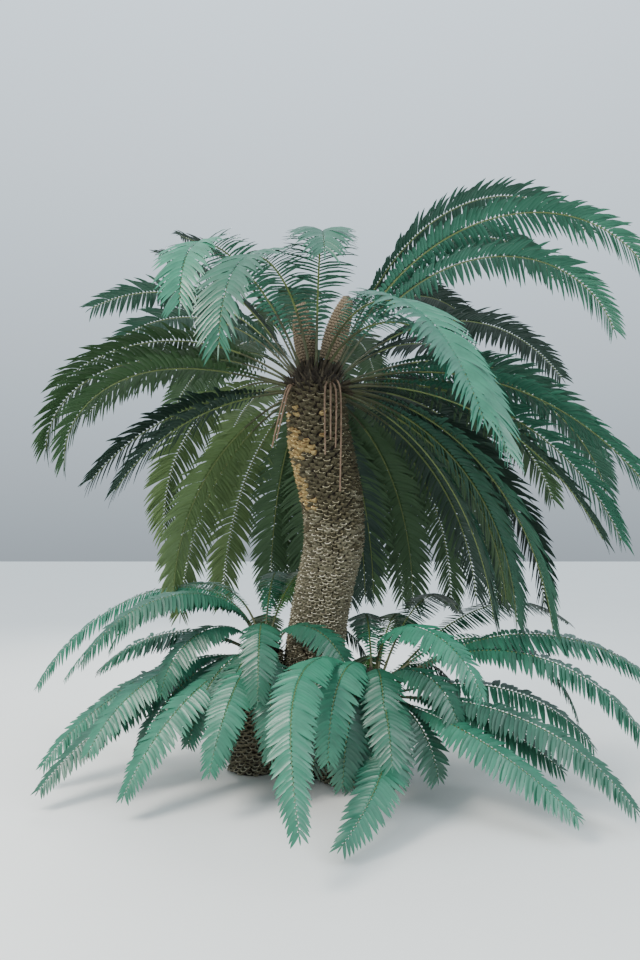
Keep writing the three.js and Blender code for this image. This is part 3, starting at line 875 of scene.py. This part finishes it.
def grow_leaf_bases(name, stations, count, settings, shape, looks, foot_size, seed):
    """Old leaf bases in a golden spiral up a stem, in three tones of side, lip and hollow."""
    steps = 40
    top = stations[-1][0]
    middles, radii = zip(*(stem_at(stations, top * i / steps) for i in range(steps + 1)))
    spine = mesh_object(name, middles, edges=[(i, i + 1) for i in range(steps)], on_points={"girth": radii})
    growth = Growth(name)
    number = growth.given("Leaf bases", count)
    width, height, length, tilt = growth.given_all(settings, "base_width base_height base_length base_tilt")
    foot_share = growth.given("Size at the foot", foot_size)
    chosen = growth.given("Seed", seed)
    points = growth.node("GeometryNodePoints", {"Count": number})
    index = growth.node("GeometryNodeInputIndex")
    crowding = foot_share * foot_share
    spread = 1.0 - (1.0 - (1.0 - crowding * crowding) * (index + 0.5) / number) ** 0.5
    share = spread / (1.0 - crowding)
    sample = {"Curves": growth.lines(), "Value": growth.attribute("girth"), "Factor": share}
    middle, girth = (
        growth.node("GeometryNodeSampleCurve", sample, found, mode="FACTOR") for found in ("Position", "Value")
    )
    angle = index * GOLDEN_TURN + growth.spread(BASE_TURN_SPREAD, chosen)
    radial = growth.combine(angle.cosine(), angle.sine(), 0.0)
    roll = growth.spread(BASE_ROLL_SPREAD, chosen + 6)
    around = growth.combine(-angle.sine() * roll.cosine(), angle.cosine() * roll.cosine(), roll.sine())
    lean = tilt + growth.spread(BASE_TILT_SPREAD, chosen + 1)
    outward = radial * lean.cosine() + growth.upward(lean.sine())
    size = foot_share + share * (1.0 - foot_share)
    stand = length * size * growth.chance(*BASE_LENGTHS, chosen + 2)
    place = middle + radial * (girth - stand * BASE_SUNK)
    z = growth.height(place)
    unevenness = (growth.noise(place, *MINGLE_NOISE) - 0.5) * MINGLE_STRENGTH
    # The warm patch: tan dry leaf bases mixed with painted sunlight on the trunk's left side
    warm = growth.map_range(z, *PATCH_BEGINS) * growth.map_range(z, *PATCH_ENDS)
    edge = growth.map_range(z, *PATCH_NARROWS)
    density = growth.map_range(z, *PATCH_THINS)
    sunny = growth.map_range((angle - math.pi).cosine() - edge, *PATCH_FADE) * density
    gold_and_painted_sun = (warm * sunny + unevenness + growth.spread(GOLD_AND_SUN_SPREAD, chosen + 3)).above(GOLD_AND_SUN_ABOVE)
    browning = growth.map_range(z, *BROWN_BEGINS)
    brown = (browning + unevenness + growth.spread(BROWN_SPREAD, chosen + 5)).above(BROWN_ABOVE)
    points = growth.moved(points, Position=place)
    points = growth.store(points, "tone", gold_and_painted_sun * 2.0 + (1.0 - gold_and_painted_sun) * brown)
    points = growth.store(points, "worn", growth.chance(0.0, 1.0, chosen + 7).above(WORN_ABOVE))
    sized = size * growth.chance(*BASE_SIZES, chosen + 4)
    scale = growth.combine(width * sized, height * sized, stand)
    grown = growth.scatter(points, shape, growth.turned(outward, around, "Z", "X"), scale)
    grown = growth.keep_above(grown, LOWEST_BARK)
    part = growth.attribute("part")
    seen = part - growth.equal(part, 1) * growth.attribute("worn")
    return growth.run(growth.paint_table(grown, looks, seen, growth.attribute("tone")), spine)


def stem_core(name, stations):
    """The inner surface of a stem, a little inside its leaf bases, from a flat foot to a low dome. It shows in the
    gaps between the bases, where its dark material paints their shade.
    """
    top = stations[-1][0]
    rings = []
    rows = round(top / CORE_STEP)
    for row in range(rows + 1):
        middle, radius = stem_at(stations, top * row / rows)
        rings.append(round_ring(middle, radius - CORE_DEPTH, CORE_SIDES))
    for turn in DOME_TURNS:
        lifted = middle + Vector((0, 0, radius * DOME_SHARE * math.sin(math.radians(turn))))
        rings.append(round_ring(lifted, (radius - CORE_DEPTH) * math.cos(math.radians(turn)), CORE_SIDES))
    points, faces = skin(rings, middle + Vector((0, 0, radius * DOME_SHARE)))
    piece = mesh_object(name, points, faces)
    shade_smooth(piece)
    return piece


class CYCAD_OT_stems(bpy.types.Operator):
    """Make the trunk and the suckers with the relief of their old leaf bases"""

    bl_idname = "cycad.stems"
    bl_label = "Stems"

    def execute(self, context):
        settings = context.scene.cycad_stems
        grain = (220, 0.002)
        # Side colours of the bark; the golden one partly paints sunlight
        sides = [
            look("bark_grey", settings.grey, 0.85, (linear(84, 77, 61), 60, 0.9), grain),
            look("bark_brown", settings.brown, 0.88, (linear(52, 46, 32), 60, 0.9), grain),
            look("bark_gold", settings.gold_and_painted_sun, 0.85, (linear(112, 88, 50), 45, 1.0), grain),
        ]
        # The hollows are darker as painted shade in their recess
        lips, hollows_painted_shade = (
            [
                look(name, linear(*colour), roughness, (linear(*spots), 70, 0.9), (300, 0.002))
                for name, colour, roughness, spots in rows
            ]
            for rows in (LIPS, HOLLOWS_PAINTED_SHADE)
        )
        # The core's dark colour is painted shade in the gaps between the leaf bases
        core_painted_shade_look = look("bark_core", linear(44, 34, 26), 0.95, (linear(22, 17, 13), 40, 0.9), (120, 0.004))
        shape = leaf_base_shape()
        for node, stations in stem_rows():
            core = stem_core(f"{node}_core", stations)
            core.data.materials.append(core_painted_shade_look)
            is_trunk = node == "trunk"
            count, foot_size, seed = (settings.trunk_bases, 0.55, 1) if is_trunk else (settings.sucker_bases, 0.85, 11)
            looks = (sides, lips, hollows_painted_shade)
            bases = grow_leaf_bases(f"{node}_leaf_bases", stations, count, settings, shape, looks, foot_size, seed)
            hand_over(core, [node])
            hand_over(bases, [node])
        discard(shape)
        return {"FINISHED"}


def frond_line(rosette, frond, pitch):
    """The rib's stations from root to tip by the source's rule: share, place, ahead, left, up."""
    azimuth, rise, tip_rise, length, swing, bend, _ = frond
    share = clamp((rise - SEAT_RISES[0]) / (SEAT_RISES[1] - SEAT_RISES[0]), 0, 1)
    turn = math.radians(mix(*SEAT_TURNS, share))
    out = rosette["radius"] * math.cos(max(turn, 0))
    start = math.radians(azimuth)
    seat = Vector((out * math.cos(start), out * math.sin(start), rosette["radius"] * DOME_SHARE * math.sin(turn)))
    seat += Vector(rosette["centre"])

    def axes(share):
        elevation = math.radians(mix(rise, tip_rise, share**bend))
        heading = math.radians(azimuth + swing * share)
        ahead = compass(heading) * math.cos(elevation) + Vector((0, 0, math.sin(elevation)))
        level = Vector((-math.sin(heading), math.cos(heading), 0))
        roll = math.radians(rosette["roll"]) * math.cos(heading)
        left = level * math.cos(roll) - ahead.cross(level) * math.sin(roll)
        return ahead, left, ahead.cross(left)

    steps = max(round(length * (1 - PETIOLE_SHARE) / (pitch / MILLIMETRE)), 2)
    foot_steps = max(round(length * PETIOLE_SHARE / (pitch / MILLIMETRE)), 2)
    shares = [PETIOLE_SHARE * i / foot_steps for i in range(foot_steps)]
    shares += [mix(PETIOLE_SHARE, 1, i / steps) for i in range(steps + 1)]
    place = seat - axes(0)[0] * ROOT_DEPTH
    stations = []
    for i, share in enumerate(shares):
        if i:
            place = place + axes((share + shares[i - 1]) / 2)[0] * length * (share - shares[i - 1])
        stations.append((share, place * MILLIMETRE, *axes(share)))
    return stations


def neighbours(rosette, number):
    """The fronds added beside one of the source, slightly shorter than it, and on a sucker a short inner one."""
    azimuth, rise, tip_rise, length, swing, bend, tone = rosette["fronds"][number]

    def beside(kind, tone):
        turn, risen, tip_risen, share = kind
        aside = SIDE_TURNS[number % len(SIDE_TURNS)] * turn
        return (azimuth + aside, rise + risen, tip_rise + tip_risen, length * share, swing, bend, tone)

    if rosette["name"] != "crown":
        inner_azimuth, inner_rise, inner_share, inner_tone = INNER_FRONDS[number]
        inner_length = rosette["centre"][2] * inner_share
        made = [(inner_azimuth, inner_rise, INNER_TIP_RISE, inner_length, 0, INNER_BEND, inner_tone)]
        if rosette["name"] == "left" or not inside(azimuth, FRONT_SECTOR):
            made.append(beside(BESIDE_ON_SUCKER, (tone, TEAL)[number % 2]))
        return made
    in_skirt = rise < SKIRT_RISE
    in_fan = rise > FAN_RISE and inside(azimuth, FAN_SECTOR)
    if in_fan or (in_skirt and azimuth > FULL_SECTOR[1]):
        return []
    made = [beside(BESIDE_FIRST, tone)]
    if in_skirt and inside(azimuth, FULL_SECTOR):
        # In the skirt the second one takes deep and green by turns: painted shade and painted light through the
        # leaflets
        made.append(beside(BESIDE_SECOND, (DEEP, GREEN)[number % 2]))
    return made


def leaflet_shape():
    """One leaflet, 1 long along local X and 1 wide: a keeled blade that is closed and pointed."""
    half_widths = [(0.0, 0.2), (0.06, 0.4), (0.26, 0.5), (0.55, 0.47), (0.8, 0.31), (0.95, 0.1)]
    keel = 0.3
    thickness = 0.06
    points = []
    for x, half in half_widths:
        points += [(x, half, keel * half), (x, 0, thickness / 2), (x, -half, keel * half), (x, 0, -thickness / 2)]
    points.append((1.0, 0, 0))
    faces = []
    for near in range(0, len(points) - 1, 4):
        far = near + 4
        is_tip = far == len(points) - 1
        for k in range(4):
            n = (k + 1) % 4
            faces.append((near + k, near + n, far) if is_tip else (near + k, near + n, far + n, far + k))
    under = [float(number % 4 > 1) for number in range(len(faces))]
    faces.append((3, 2, 1, 0))
    under.append(1.0)
    reach = {"reach": [point[0] for point in points]}
    shape = mesh_object("leaflet_shape", points, faces, on_points=reach, on_faces={"under": under})
    margins = shape.data.attributes.new("sharp_edge", "BOOLEAN", "EDGE")
    rims = [all(vertex % 4 in (0, 2) for vertex in edge.vertices) for edge in shape.data.edges]
    margins.data.foreach_set("value", rims)
    shade_smooth(shape)
    return shape


def leaflet_carrier(name, rosette, fronds, pitch):
    """One point for each leaflet's foot, with the axes of its rib there."""
    scale = rosette["scale"]
    is_low = float(rosette["name"] != "crown")
    points = []
    held = {key: [] for key in ("ahead", "outward", "upward", "along", "grown", "low", "tone")}
    for frond in fronds:
        stations = frond_line(rosette, frond, pitch * scale)
        blade = [station for station in stations if station[0] >= PETIOLE_SHARE - 1e-9]
        for i, (share, place, ahead, left, up) in enumerate(blade):
            along = (share - PETIOLE_SHARE) / (1 - PETIOLE_SHARE)
            is_tip = i == len(blade) - 1
            grown = scale * (TIP_LEAFLET_SHARE if is_tip else 1.0)
            half = scale * mix(1, RIB_TIP_SHARE, share) * RIB_WIDTH / 2 * MILLIMETRE
            for out, stagger in [(ahead, 0.0)] if is_tip else [(left, 0.0), (-left, STAGGER)]:
                shift = ahead * stagger * pitch
                points.append(place + shift + out * half * FOOT_SEAT[0] + up * half * FOOT_SEAT[1])
                row = (ahead, out, up, along, grown, is_low, float(frond[-1]))
                for values, value in zip(held.values(), row):
                    values.append(value)
    return mesh_object(name, points, on_points=held)


def grow_leaflets(name, rosette, fronds, settings, shape, looks, seed):
    """Leaflets on both sides of each rib, longest before the middle, swept forward to the tip and sagging."""
    carrier = leaflet_carrier(name, rosette, fronds, settings.pitch)
    growth = Growth(name)
    length, width, lift, sag = growth.given_all(settings, "length width lift sag")
    low_length, low_width, low_lift, low_sag, low_sweep = growth.given_all(
        settings, "sucker_length sucker_width sucker_lift sucker_sag sucker_sweep"
    )
    low = growth.attribute("low")
    lift = lift + low * (low_lift - lift)
    sag = sag + low * (low_sag - sag)
    foot_share = growth.given("Length at the foot", LEAFLET_FOOT_SHARE)
    full_from = growth.given("Full length from", LEAFLET_FULL_FROM)
    tip_loss = growth.given("Length lost at the tip", LEAFLET_TIP_LOSS)
    sweep_foot = growth.given("Sweep at the foot", SWEEP_AT_FOOT)
    sweep_tip = growth.given("Sweep at the tip", SWEEP_AT_TIP)
    sickle = growth.given("Sickle", SICKLE)
    chosen = growth.given("Seed", seed)
    along = growth.attribute("along")
    ahead, outward, upward = (growth.direction(key) for key in ("ahead", "outward", "upward"))
    foot = growth.map_range(along, 0.0, full_from, foot_share, 1.0, kind="SMOOTHSTEP")
    reach = length * growth.attribute("grown") * foot * (1.0 - tip_loss * along**4.0)
    reach = reach * growth.chance(*LEAFLET_LENGTHS, chosen) * (1.0 - low * (1.0 - low_length))
    sweep = sweep_foot + (sweep_tip - sweep_foot) * along * along + growth.spread(SWEEP_SPREAD, chosen + 1)
    sweep = sweep + low * low_sweep * (1.0 - along * along)
    rising = lift + growth.spread(LIFT_SPREAD, chosen + 2)
    sideways = outward * rising.cosine() + upward * rising.sine()
    direction = sideways * sweep.cosine() + ahead * sweep.sine()
    facing = upward * rising.cosine() - outward * rising.sine()
    twist = growth.chance(*LEAFLET_TWISTS, chosen + 3)
    facing = facing * twist.cosine() + ahead * twist.sine()
    points = growth.store(growth.feet(), "span", reach)
    points = growth.store(points, "hang", sag * growth.chance(*LEAFLET_SAGS, chosen + 4))
    broad = width * growth.attribute("grown") * growth.map_range(along, *NARROW_AT_FOOT)
    broad = broad * growth.map_range(along, *NARROW_AT_TIP) * (1.0 + low * (low_width - 1.0))
    rotation = growth.turned(direction, facing, "X", "Z")
    leaves = growth.scatter(points, shape, rotation, growth.combine(reach, broad, broad))
    out = growth.attribute("reach")
    bow = growth.attribute("span") * out * out
    drop = growth.upward(bow * growth.attribute("hang") * -1.0)
    leaves = growth.moved(leaves, Offset=drop + growth.direction("ahead") * (bow * sickle))
    leaves = growth.keep_above(leaves, LOWEST_LEAFLET)
    tone, under = growth.attribute("tone"), growth.attribute("under")
    return growth.run(growth.paint_table(leaves, looks, tone, under), carrier)


def grow_ribs(name, rosette, fronds, looks):
    """Ribs of the fronds, from a broad woolly base to a thin tip, oval and flat on top."""
    points, edges = [], []
    held = {"upward": [], "girth": [], "along": []}
    for frond in fronds:
        for i, (share, place, _, _, up) in enumerate(frond_line(rosette, frond, RIB_STEP)):
            if i:
                edges.append((len(points) - 1, len(points)))
            points.append(place)
            swollen = 1 + (LEAF_BASE_WIDTH / RIB_WIDTH - 1) * max(1 - share / SWELLING_END, 0)
            slim = rosette["scale"] * mix(1, RIB_TIP_SHARE, share) * swollen
            finer = mix(*RIB_SLIMMING, clamp(share / RIB_SLIM_FROM, 0, 1))
            held["upward"].append(up)
            held["girth"].append(slim * RIB_WIDTH / 2 * MILLIMETRE * finer)
            held["along"].append(share)
    carrier = mesh_object(name, points, edges=edges, on_points=held)
    growth = Growth(name)
    sides = growth.given("Rib sides", 8)
    flat = growth.given("Height to width", RIB_HEIGHT / RIB_WIDTH)
    set_up = {"Curve": growth.lines(), "Normal": growth.direction("upward")}
    curve = growth.node("GeometryNodeSetCurveNormal", set_up, mode="FREE")
    oval = {"Geometry": growth.circle(sides), "Scale": growth.combine(flat, 1.0, 1.0)}
    tube = growth.tube(curve, growth.node("GeometryNodeTransform", oval))
    tube = growth.keep_above(tube, LOWEST_RIB)
    here = growth.attribute("along")
    rib, petiole, base = looks
    in_petiole, in_base = ((end - here).above(0.0) for end in (PETIOLE_LOOK_END, BASE_LOOK_END))
    return growth.run(growth.paint(tube, [(rib, None), (petiole, in_petiole), (base, in_base)]), carrier)


class CYCAD_OT_fronds(bpy.types.Operator):
    """Make the ribs and the leaflets of every frond"""

    bl_idname = "cycad.fronds"
    bl_label = "Fronds"

    def execute(self, context):
        settings = context.scene.cycad_fronds
        leaf_looks = []
        for tone in ("teal", "deep", "green", "lime", "pale"):
            colour = getattr(settings, tone)
            shade = tuple(value * 0.55 for value in colour)
            # Undersides: darker than the tops as painted shade, except the lime ones, lighter as painted light through
            # the leaflets
            under_painted_light_factor = {"lime": 1.35, "teal": 1.1, "pale": 1.1}.get(tone, 0.85)
            under_with_painted_light_and_shade = tuple(under_painted_light_factor * mix(value, 0.06, 0.25) for value in colour)
            roughness, coat = (0.44, 0.0) if tone == "deep" else (0.4, 0.06)
            top = look(f"leaf_{tone}", colour, roughness, (shade, 9, 0.8), coat=coat)
            leaf_looks.append((top, look(f"leaf_under_{tone}", under_with_painted_light_and_shade, 0.6, (shade, 9, 0.5))))
        rib_looks = [
            look("rib", settings.rib, 0.5, (linear(86, 104, 52), 30, 0.6)),
            look("petiole", linear(70, 78, 44), 0.55, (linear(52, 44, 28), 30, 0.8)),
            look("frond_foot", linear(74, 64, 46), 0.85, (linear(38, 31, 22), 60, 0.9), (200, 0.002)),
        ]
        shape = leaflet_shape()
        crown, *suckers = ROSETTES
        quarter = len(crown["fronds"]) // 4
        groups = [(f"crown_{'abcd'[k]}", crown, range(k * quarter, (k + 1) * quarter)) for k in range(4)]
        groups += [(sucker["name"], sucker, range(len(sucker["fronds"]))) for sucker in suckers]
        for number, (group, rosette, members) in enumerate(groups):
            fronds = [rosette["fronds"][i] for i in members]
            fronds += [frond for i in members for frond in neighbours(rosette, i)]
            nodes = [f"frond_{rosette['name']}_{i + 1:02d}" for i in members]
            seed = 100 + 10 * number
            leaves = grow_leaflets(f"leaflets_{group}", rosette, fronds, settings, shape, leaf_looks, seed)
            ribs = grow_ribs(f"ribs_{group}", rosette, fronds, rib_looks)
            hand_over(leaves, nodes)
            hand_over(ribs, nodes)
        discard(shape)
        return {"FINISHED"}


def cone_place(foot, lean, turn):
    """Where a cone stands: turned to its compass direction, then leaned that way."""
    heading = math.radians(turn)
    axis = Vector((-math.sin(heading), math.cos(heading), 0))
    leaned = Matrix.Rotation(math.radians(lean), 4, axis) @ Matrix.Rotation(heading, 4, "Z")
    return Matrix.Translation(Vector(foot) * MILLIMETRE) @ leaned


def cone_core(name, placed):
    """The stalk and body of a cone under its scales, later given the dark colour that paints the shade between the
    scales.
    """

    def ring(height, radius):
        return round_ring(Vector((0, 0, height)), radius, CONE_CORE_SIDES)

    start = CONE_STALK_LENGTH * MILLIMETRE
    rings = [ring(0, CONE_STALK_RADIUS * MILLIMETRE), ring(start, CONE_STALK_RADIUS * MILLIMETRE)]
    for i in range(CONE_CORE_ROWS + 1):
        share = i / CONE_CORE_ROWS
        swell = math.sin(math.pi * mix(*CONE_SWELL_SPAN, share)) ** CONE_FULLNESS
        radius = CONE_BODY_RADIUS * swell * MILLIMETRE * CONE_CORE_SHARE
        rings.append(ring(start + CONE_BODY_LENGTH * MILLIMETRE * share, radius))
    points, faces = skin(rings, Vector((0, 0, start + (CONE_BODY_LENGTH + CONE_POINT) * MILLIMETRE)))
    return mesh_object(name, [placed @ point for point in points], faces)


def cone_scale_shape():
    """One cone scale: a broad low rhomb with a blunt beak, outward along local Z."""
    outline = [(0.5, 0.0), (0.22, 0.36), (-0.22, 0.36), (-0.5, 0.0), (-0.22, -0.42), (0.22, -0.42)]
    levels = [(-0.6, 0.9), (0.35, 1.0), (0.75, 0.66)]
    rings = [[Vector((x * grown, y * grown, z)) for x, y in outline] for z, grown in levels]
    points, faces = skin(rings, Vector((0, -0.1, 1.0)))
    ridge = [1.0 if min(face) >= len(outline) and len(points) - 2 not in face else 0.0 for face in faces]
    return mesh_object("cone_scale_shape", points, faces, on_faces={"ridge": ridge})


def grow_cone_scales(name, settings, shape, looks, seed):
    """Rows of scales round a cone's body that stands upright at the origin."""
    carrier = mesh_object(name, [Vector()])
    growth = Growth(name)
    rows, around = growth.given_all(settings, "rows around")
    radius = growth.given("Body radius", CONE_BODY_RADIUS * MILLIMETRE)
    length = growth.given("Body length", CONE_BODY_LENGTH * MILLIMETRE)
    start = growth.given("Body start", CONE_STALK_LENGTH * MILLIMETRE)
    fullness = growth.given("Fullness", CONE_FULLNESS)
    chosen = growth.given("Seed", seed)
    points = growth.node("GeometryNodePoints", {"Count": rows * around})
    index = growth.node("GeometryNodeInputIndex")
    row = (index / around + 0.001).floor()
    column = index - row * around
    share = (row + 0.5) / rows
    angle = (column + row * 0.5) / around * (2 * math.pi)
    phase = (CONE_SWELL_SPAN[0] + share * (CONE_SWELL_SPAN[1] - CONE_SWELL_SPAN[0])) * math.pi
    girth = radius * phase.sine() ** fullness
    radial = growth.combine(angle.cosine(), angle.sine(), 0.0)
    tangent = growth.combine(-angle.sine(), angle.cosine(), 0.0)
    slope = phase.cosine() * CONE_SLOPE
    outward = radial + growth.upward(slope * -CONE_SCALE_NOD + growth.spread(CONE_SCALE_SPREAD, chosen))
    stand = girth * CONE_SCALE_STAND * growth.chance(*CONE_SCALE_STANDS, chosen + 1)
    place = radial * (girth - stand * CONE_SCALE_SUNK) + growth.upward(start + length * share)
    points = growth.moved(points, Position=place)
    wide = girth * (2 * math.pi * CONE_SCALE_WIDTH) / around
    scale = growth.combine(wide, length / rows * CONE_SCALE_HEIGHT, stand)
    grown = growth.scatter(points, shape, growth.turned(outward, tangent, "Z", "X"), scale)
    # Faces off the outer ridge take the side colour, painted shade between the scales
    ridge = growth.attribute("ridge")
    choices = [(looks[0], ridge.above(0.5)), (looks[1], (0.5 - ridge).above(0.0))]
    return growth.run(growth.paint(grown, choices), carrier)


class CYCAD_OT_cones(bpy.types.Operator):
    """Make the two cones with their rows of scales"""

    bl_idname = "cycad.cones"
    bl_label = "Cones"

    def execute(self, context):
        settings = context.scene.cycad_cones
        shape = cone_scale_shape()
        # The scale's side colour is painted shade between the scales; the core takes it too
        warm = [
            look("cone_scale", settings.tan, 0.7, (linear(80, 69, 51), 50, 0.8), (260, 0.0015)),
            look("cone_scale_side", settings.dark, 0.85, (linear(34, 29, 21), 50, 0.8)),
        ]
        for number, (node, foot, lean, turn) in enumerate(CONES):
            placed = cone_place(foot, lean, turn)
            scales = grow_cone_scales(f"{node}_scales", settings, shape, warm, 31 + number)
            scales.data.transform(placed)
            core = cone_core(f"{node}_core", placed)
            core.data.materials.append(warm[1])
            hand_over(scales, [node])
            hand_over(core, [node])
        discard(shape)
        return {"FINISHED"}


def grow_stalks(name, root, stalks, settings, material):
    """Dry stalks from their shared root on the trunk, over the knee and down to the tip."""
    points, edges, girth = [], [], []
    steps = 16
    for knee, tip in stalks:
        line = [Vector(place) * MILLIMETRE for place in (root, knee, tip)]
        slopes = [(line[min(k + 1, 2)] - line[max(k - 1, 0)]) / 2 for k in range(3)]
        for i in range(2 * steps + 1):
            share = i / steps
            k = min(int(share), 1)
            if i:
                edges.append((len(points) - 1, len(points)))
            points.append(smooth_step(line[k], slopes[k], line[k + 1], slopes[k + 1], share - k))
            girth.append(settings.radius * mix(1.15, 0.8, share / 2))
    carrier = mesh_object(name, points, edges=edges, on_points={"girth": girth})
    growth = Growth(name)
    sides = growth.given("Stalk sides", 8)
    wander = growth.given("Wander", 0.004)
    tube = growth.tube(growth.lines(), growth.circle(sides))
    noise = growth.noise(growth.node("GeometryNodeInputPosition"), 14.0, 2.0, output="Color")
    middle = growth.combine(0.5, 0.5, 0.5)
    offset = growth.node("ShaderNodeVectorMath", (noise, middle), operation="SUBTRACT") * wander
    return growth.run(growth.paint(growth.moved(tube, Offset=offset), [(material, None)]), carrier)


def crown_scale_shape():
    """One dry scale: a narrow pointed strip, closed, 1 long along local X."""
    rings = [
        [Vector((x, half, 0)), Vector((x, 0, 0.12)), Vector((x, -half, 0)), Vector((x, 0, -0.05))]
        for x, half in ((0.0, 0.5), (0.35, 0.42), (0.7, 0.22))
    ]
    return mesh_object("crown_scale_shape", *skin(rings, Vector((1, 0, 0))))


def grow_crown_scales(name, stations, count, shape, looks, seed):
    """Dry pointed scales that stand up and out between the fronds' feet on a stem's top."""
    middle, radius = stem_at(stations, stations[-1][0])
    draw = random.Random(seed)
    points, outward, size = [], [], []
    for i in range(count):
        share = (i + 0.5) / count
        turn = math.radians(mix(*DRY_SCALE_TURNS, share))
        angle = i * GOLDEN_TURN
        radial = compass(angle)
        place = middle + radial * radius * math.cos(max(turn, 0)) * DRY_SCALE_SEAT
        place += Vector((0, 0, radius * DOME_SHARE * math.sin(turn)))
        points.append(place)
        leaned = math.radians(mix(*DRY_SCALE_LEANS, share))
        leaned += draw.uniform(-DRY_SCALE_LEAN_SPREAD, DRY_SCALE_LEAN_SPREAD)
        level = Vector((-math.sin(angle), math.cos(angle), 0))
        aside = level * draw.uniform(-DRY_SCALE_ASIDE, DRY_SCALE_ASIDE)
        outward.append((radial * math.cos(leaned) + Vector((0, 0, math.sin(leaned))) + aside).normalized())
        size.append(draw.uniform(*DRY_SCALE_SIZES))
    carrier = mesh_object(name, points, on_points={"outward": outward, "size": size})
    growth = Growth(name)
    length = growth.given("Scale length", 0.062)
    width = growth.given("Scale width", 0.022)
    size = growth.attribute("size")
    rotation = growth.turned(growth.direction("outward"), growth.upward(1.0), "X", "Z")
    scale = growth.combine(length * size, width * size, width * size)
    grown = growth.scatter(growth.feet(), shape, rotation, scale)
    light, dark = looks
    choices = [(light, None), (dark, (growth.attribute("size") - DARK_SCALE_ABOVE).above(0.0))]
    return growth.run(growth.paint(grown, choices), carrier)


class CYCAD_OT_dry_parts(bpy.types.Operator):
    """Make the dry stalks under the crown and the dry scales between the fronds' feet"""

    bl_idname = "cycad.dry_parts"
    bl_label = "Dry parts"

    def execute(self, context):
        settings = context.scene.cycad_stalks
        material = look("dry_stalk", settings.colour, 0.8, (linear(84, 60, 48), 40, 0.8), (150, 0.002))
        for node, root, stalks in STALK_GROUPS:
            piece = grow_stalks(f"{node}_dry", root, stalks, settings, material)
            hand_over(piece, [node])
        looks = [
            look("crown_scale_light", linear(94, 84, 66), 0.9, (linear(44, 36, 27), 70, 0.8)),
            look("crown_scale_dark", linear(56, 48, 37), 0.92, (linear(26, 21, 16), 70, 0.8)),
        ]
        shape = crown_scale_shape()
        for node, stations in stem_rows():
            is_trunk = node == "trunk"
            name = "crown_scales" if is_trunk else f"{node}_scales"
            count, seed = (settings.crown_scales, 5) if is_trunk else (settings.crown_scales // 3, 6)
            piece = grow_crown_scales(name, stations, count, shape, looks, seed)
            hand_over(piece, [node])
        discard(shape)
        return {"FINISHED"}


def area_light(name, place, target, size, power, colour):
    light = bpy.data.lights.new(name, "AREA")
    light.shape = "DISK"
    light.size = size
    light.energy = power
    light.color = colour
    lamp = bpy.data.objects.new(name, light)
    lamp.location = place
    lamp.rotation_euler = (Vector(target) - Vector(place)).to_track_quat("-Z", "Y").to_euler()
    bpy.context.scene.collection.objects.link(lamp)


class CYCAD_OT_studio(bpy.types.Operator):
    """Make the floor, the soft lights, the pale surround and the camera"""

    bl_idname = "cycad.studio"
    bl_label = "Studio"

    def execute(self, context):
        settings = context.scene.cycad_studio
        half = settings.floor_size / 2
        corners = [(-half, -half, 0), (half, -half, 0), (half, half, 0), (-half, half, 0)]
        floor = mesh_object("studio_floor", corners, [(0, 1, 2, 3)])
        mottle = tuple(0.96 * value for value in settings.floor_colour)
        floor.data.materials.append(look("studio_floor", settings.floor_colour, 0.8, (mottle, 1.5, 0.5)))
        world = bpy.data.worlds.new("studio_surround")
        world.use_nodes = True
        world.node_tree.nodes.clear()
        graph = Graph(world.node_tree)
        up = graph.height(graph.node("ShaderNodeTexCoord", output="Generated"))
        strength = graph.map_range(up, *SURROUND_STRENGTH)
        glow = graph.node("ShaderNodeBackground", {"Color": SURROUND_COLOUR, "Strength": strength})
        graph.node("ShaderNodeOutputWorld", {"Surface": glow})
        context.scene.world = world
        for name, place, target, size, share, colour in LIGHTS:
            area_light(name, place, target, size, settings.key_power * share, colour)
        lens = bpy.data.cameras.new("camera")
        lens.lens = CAMERA_LENS
        lens.sensor_width = CAMERA_SENSOR
        camera = bpy.data.objects.new("camera", lens)
        camera.location = CAMERA_PLACE
        camera.rotation_euler = (math.radians(90 + CAMERA_PITCH), 0, 0)
        context.scene.collection.objects.link(camera)
        context.scene.camera = camera
        return {"FINISHED"}


class CYCAD_PT_panel(bpy.types.Panel):
    """Lists the plant's pieces, each with its button"""

    bl_idname = "CYCAD_PT_panel"
    bl_label = "Natal giant cycad"
    bl_space_type = "VIEW_3D"
    bl_region_type = "UI"
    bl_category = "Cycad"

    def draw(self, context):
        for settings_name, _, operator in PARTS:
            box = self.layout.box()
            box.operator(operator.bl_idname)
            settings = getattr(context.scene, settings_name)
            for key in settings.bl_rna.properties.keys():
                if key not in ("rna_type", "name"):
                    box.prop(settings, key)


PARTS = [
    ("cycad_stems", StemSettings, CYCAD_OT_stems),
    ("cycad_fronds", FrondSettings, CYCAD_OT_fronds),
    ("cycad_cones", ConeSettings, CYCAD_OT_cones),
    ("cycad_stalks", StalkSettings, CYCAD_OT_dry_parts),
    ("cycad_studio", StudioSettings, CYCAD_OT_studio),
]


def register():
    for name, group, operator in PARTS:
        bpy.utils.register_class(group)
        setattr(bpy.types.Scene, name, bpy.props.PointerProperty(type=group))
        bpy.utils.register_class(operator)
    bpy.utils.register_class(CYCAD_PT_panel)


def unregister():
    bpy.utils.unregister_class(CYCAD_PT_panel)
    for name, group, operator in reversed(PARTS):
        bpy.utils.unregister_class(operator)
        delattr(bpy.types.Scene, name)
        bpy.utils.unregister_class(group)


def main():
    register()
    bpy.ops.cycad.stems()
    bpy.ops.cycad.fronds()
    bpy.ops.cycad.cones()
    bpy.ops.cycad.dry_parts()
    bpy.ops.cycad.studio()
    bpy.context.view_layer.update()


if __name__ == "__main__":
    main()
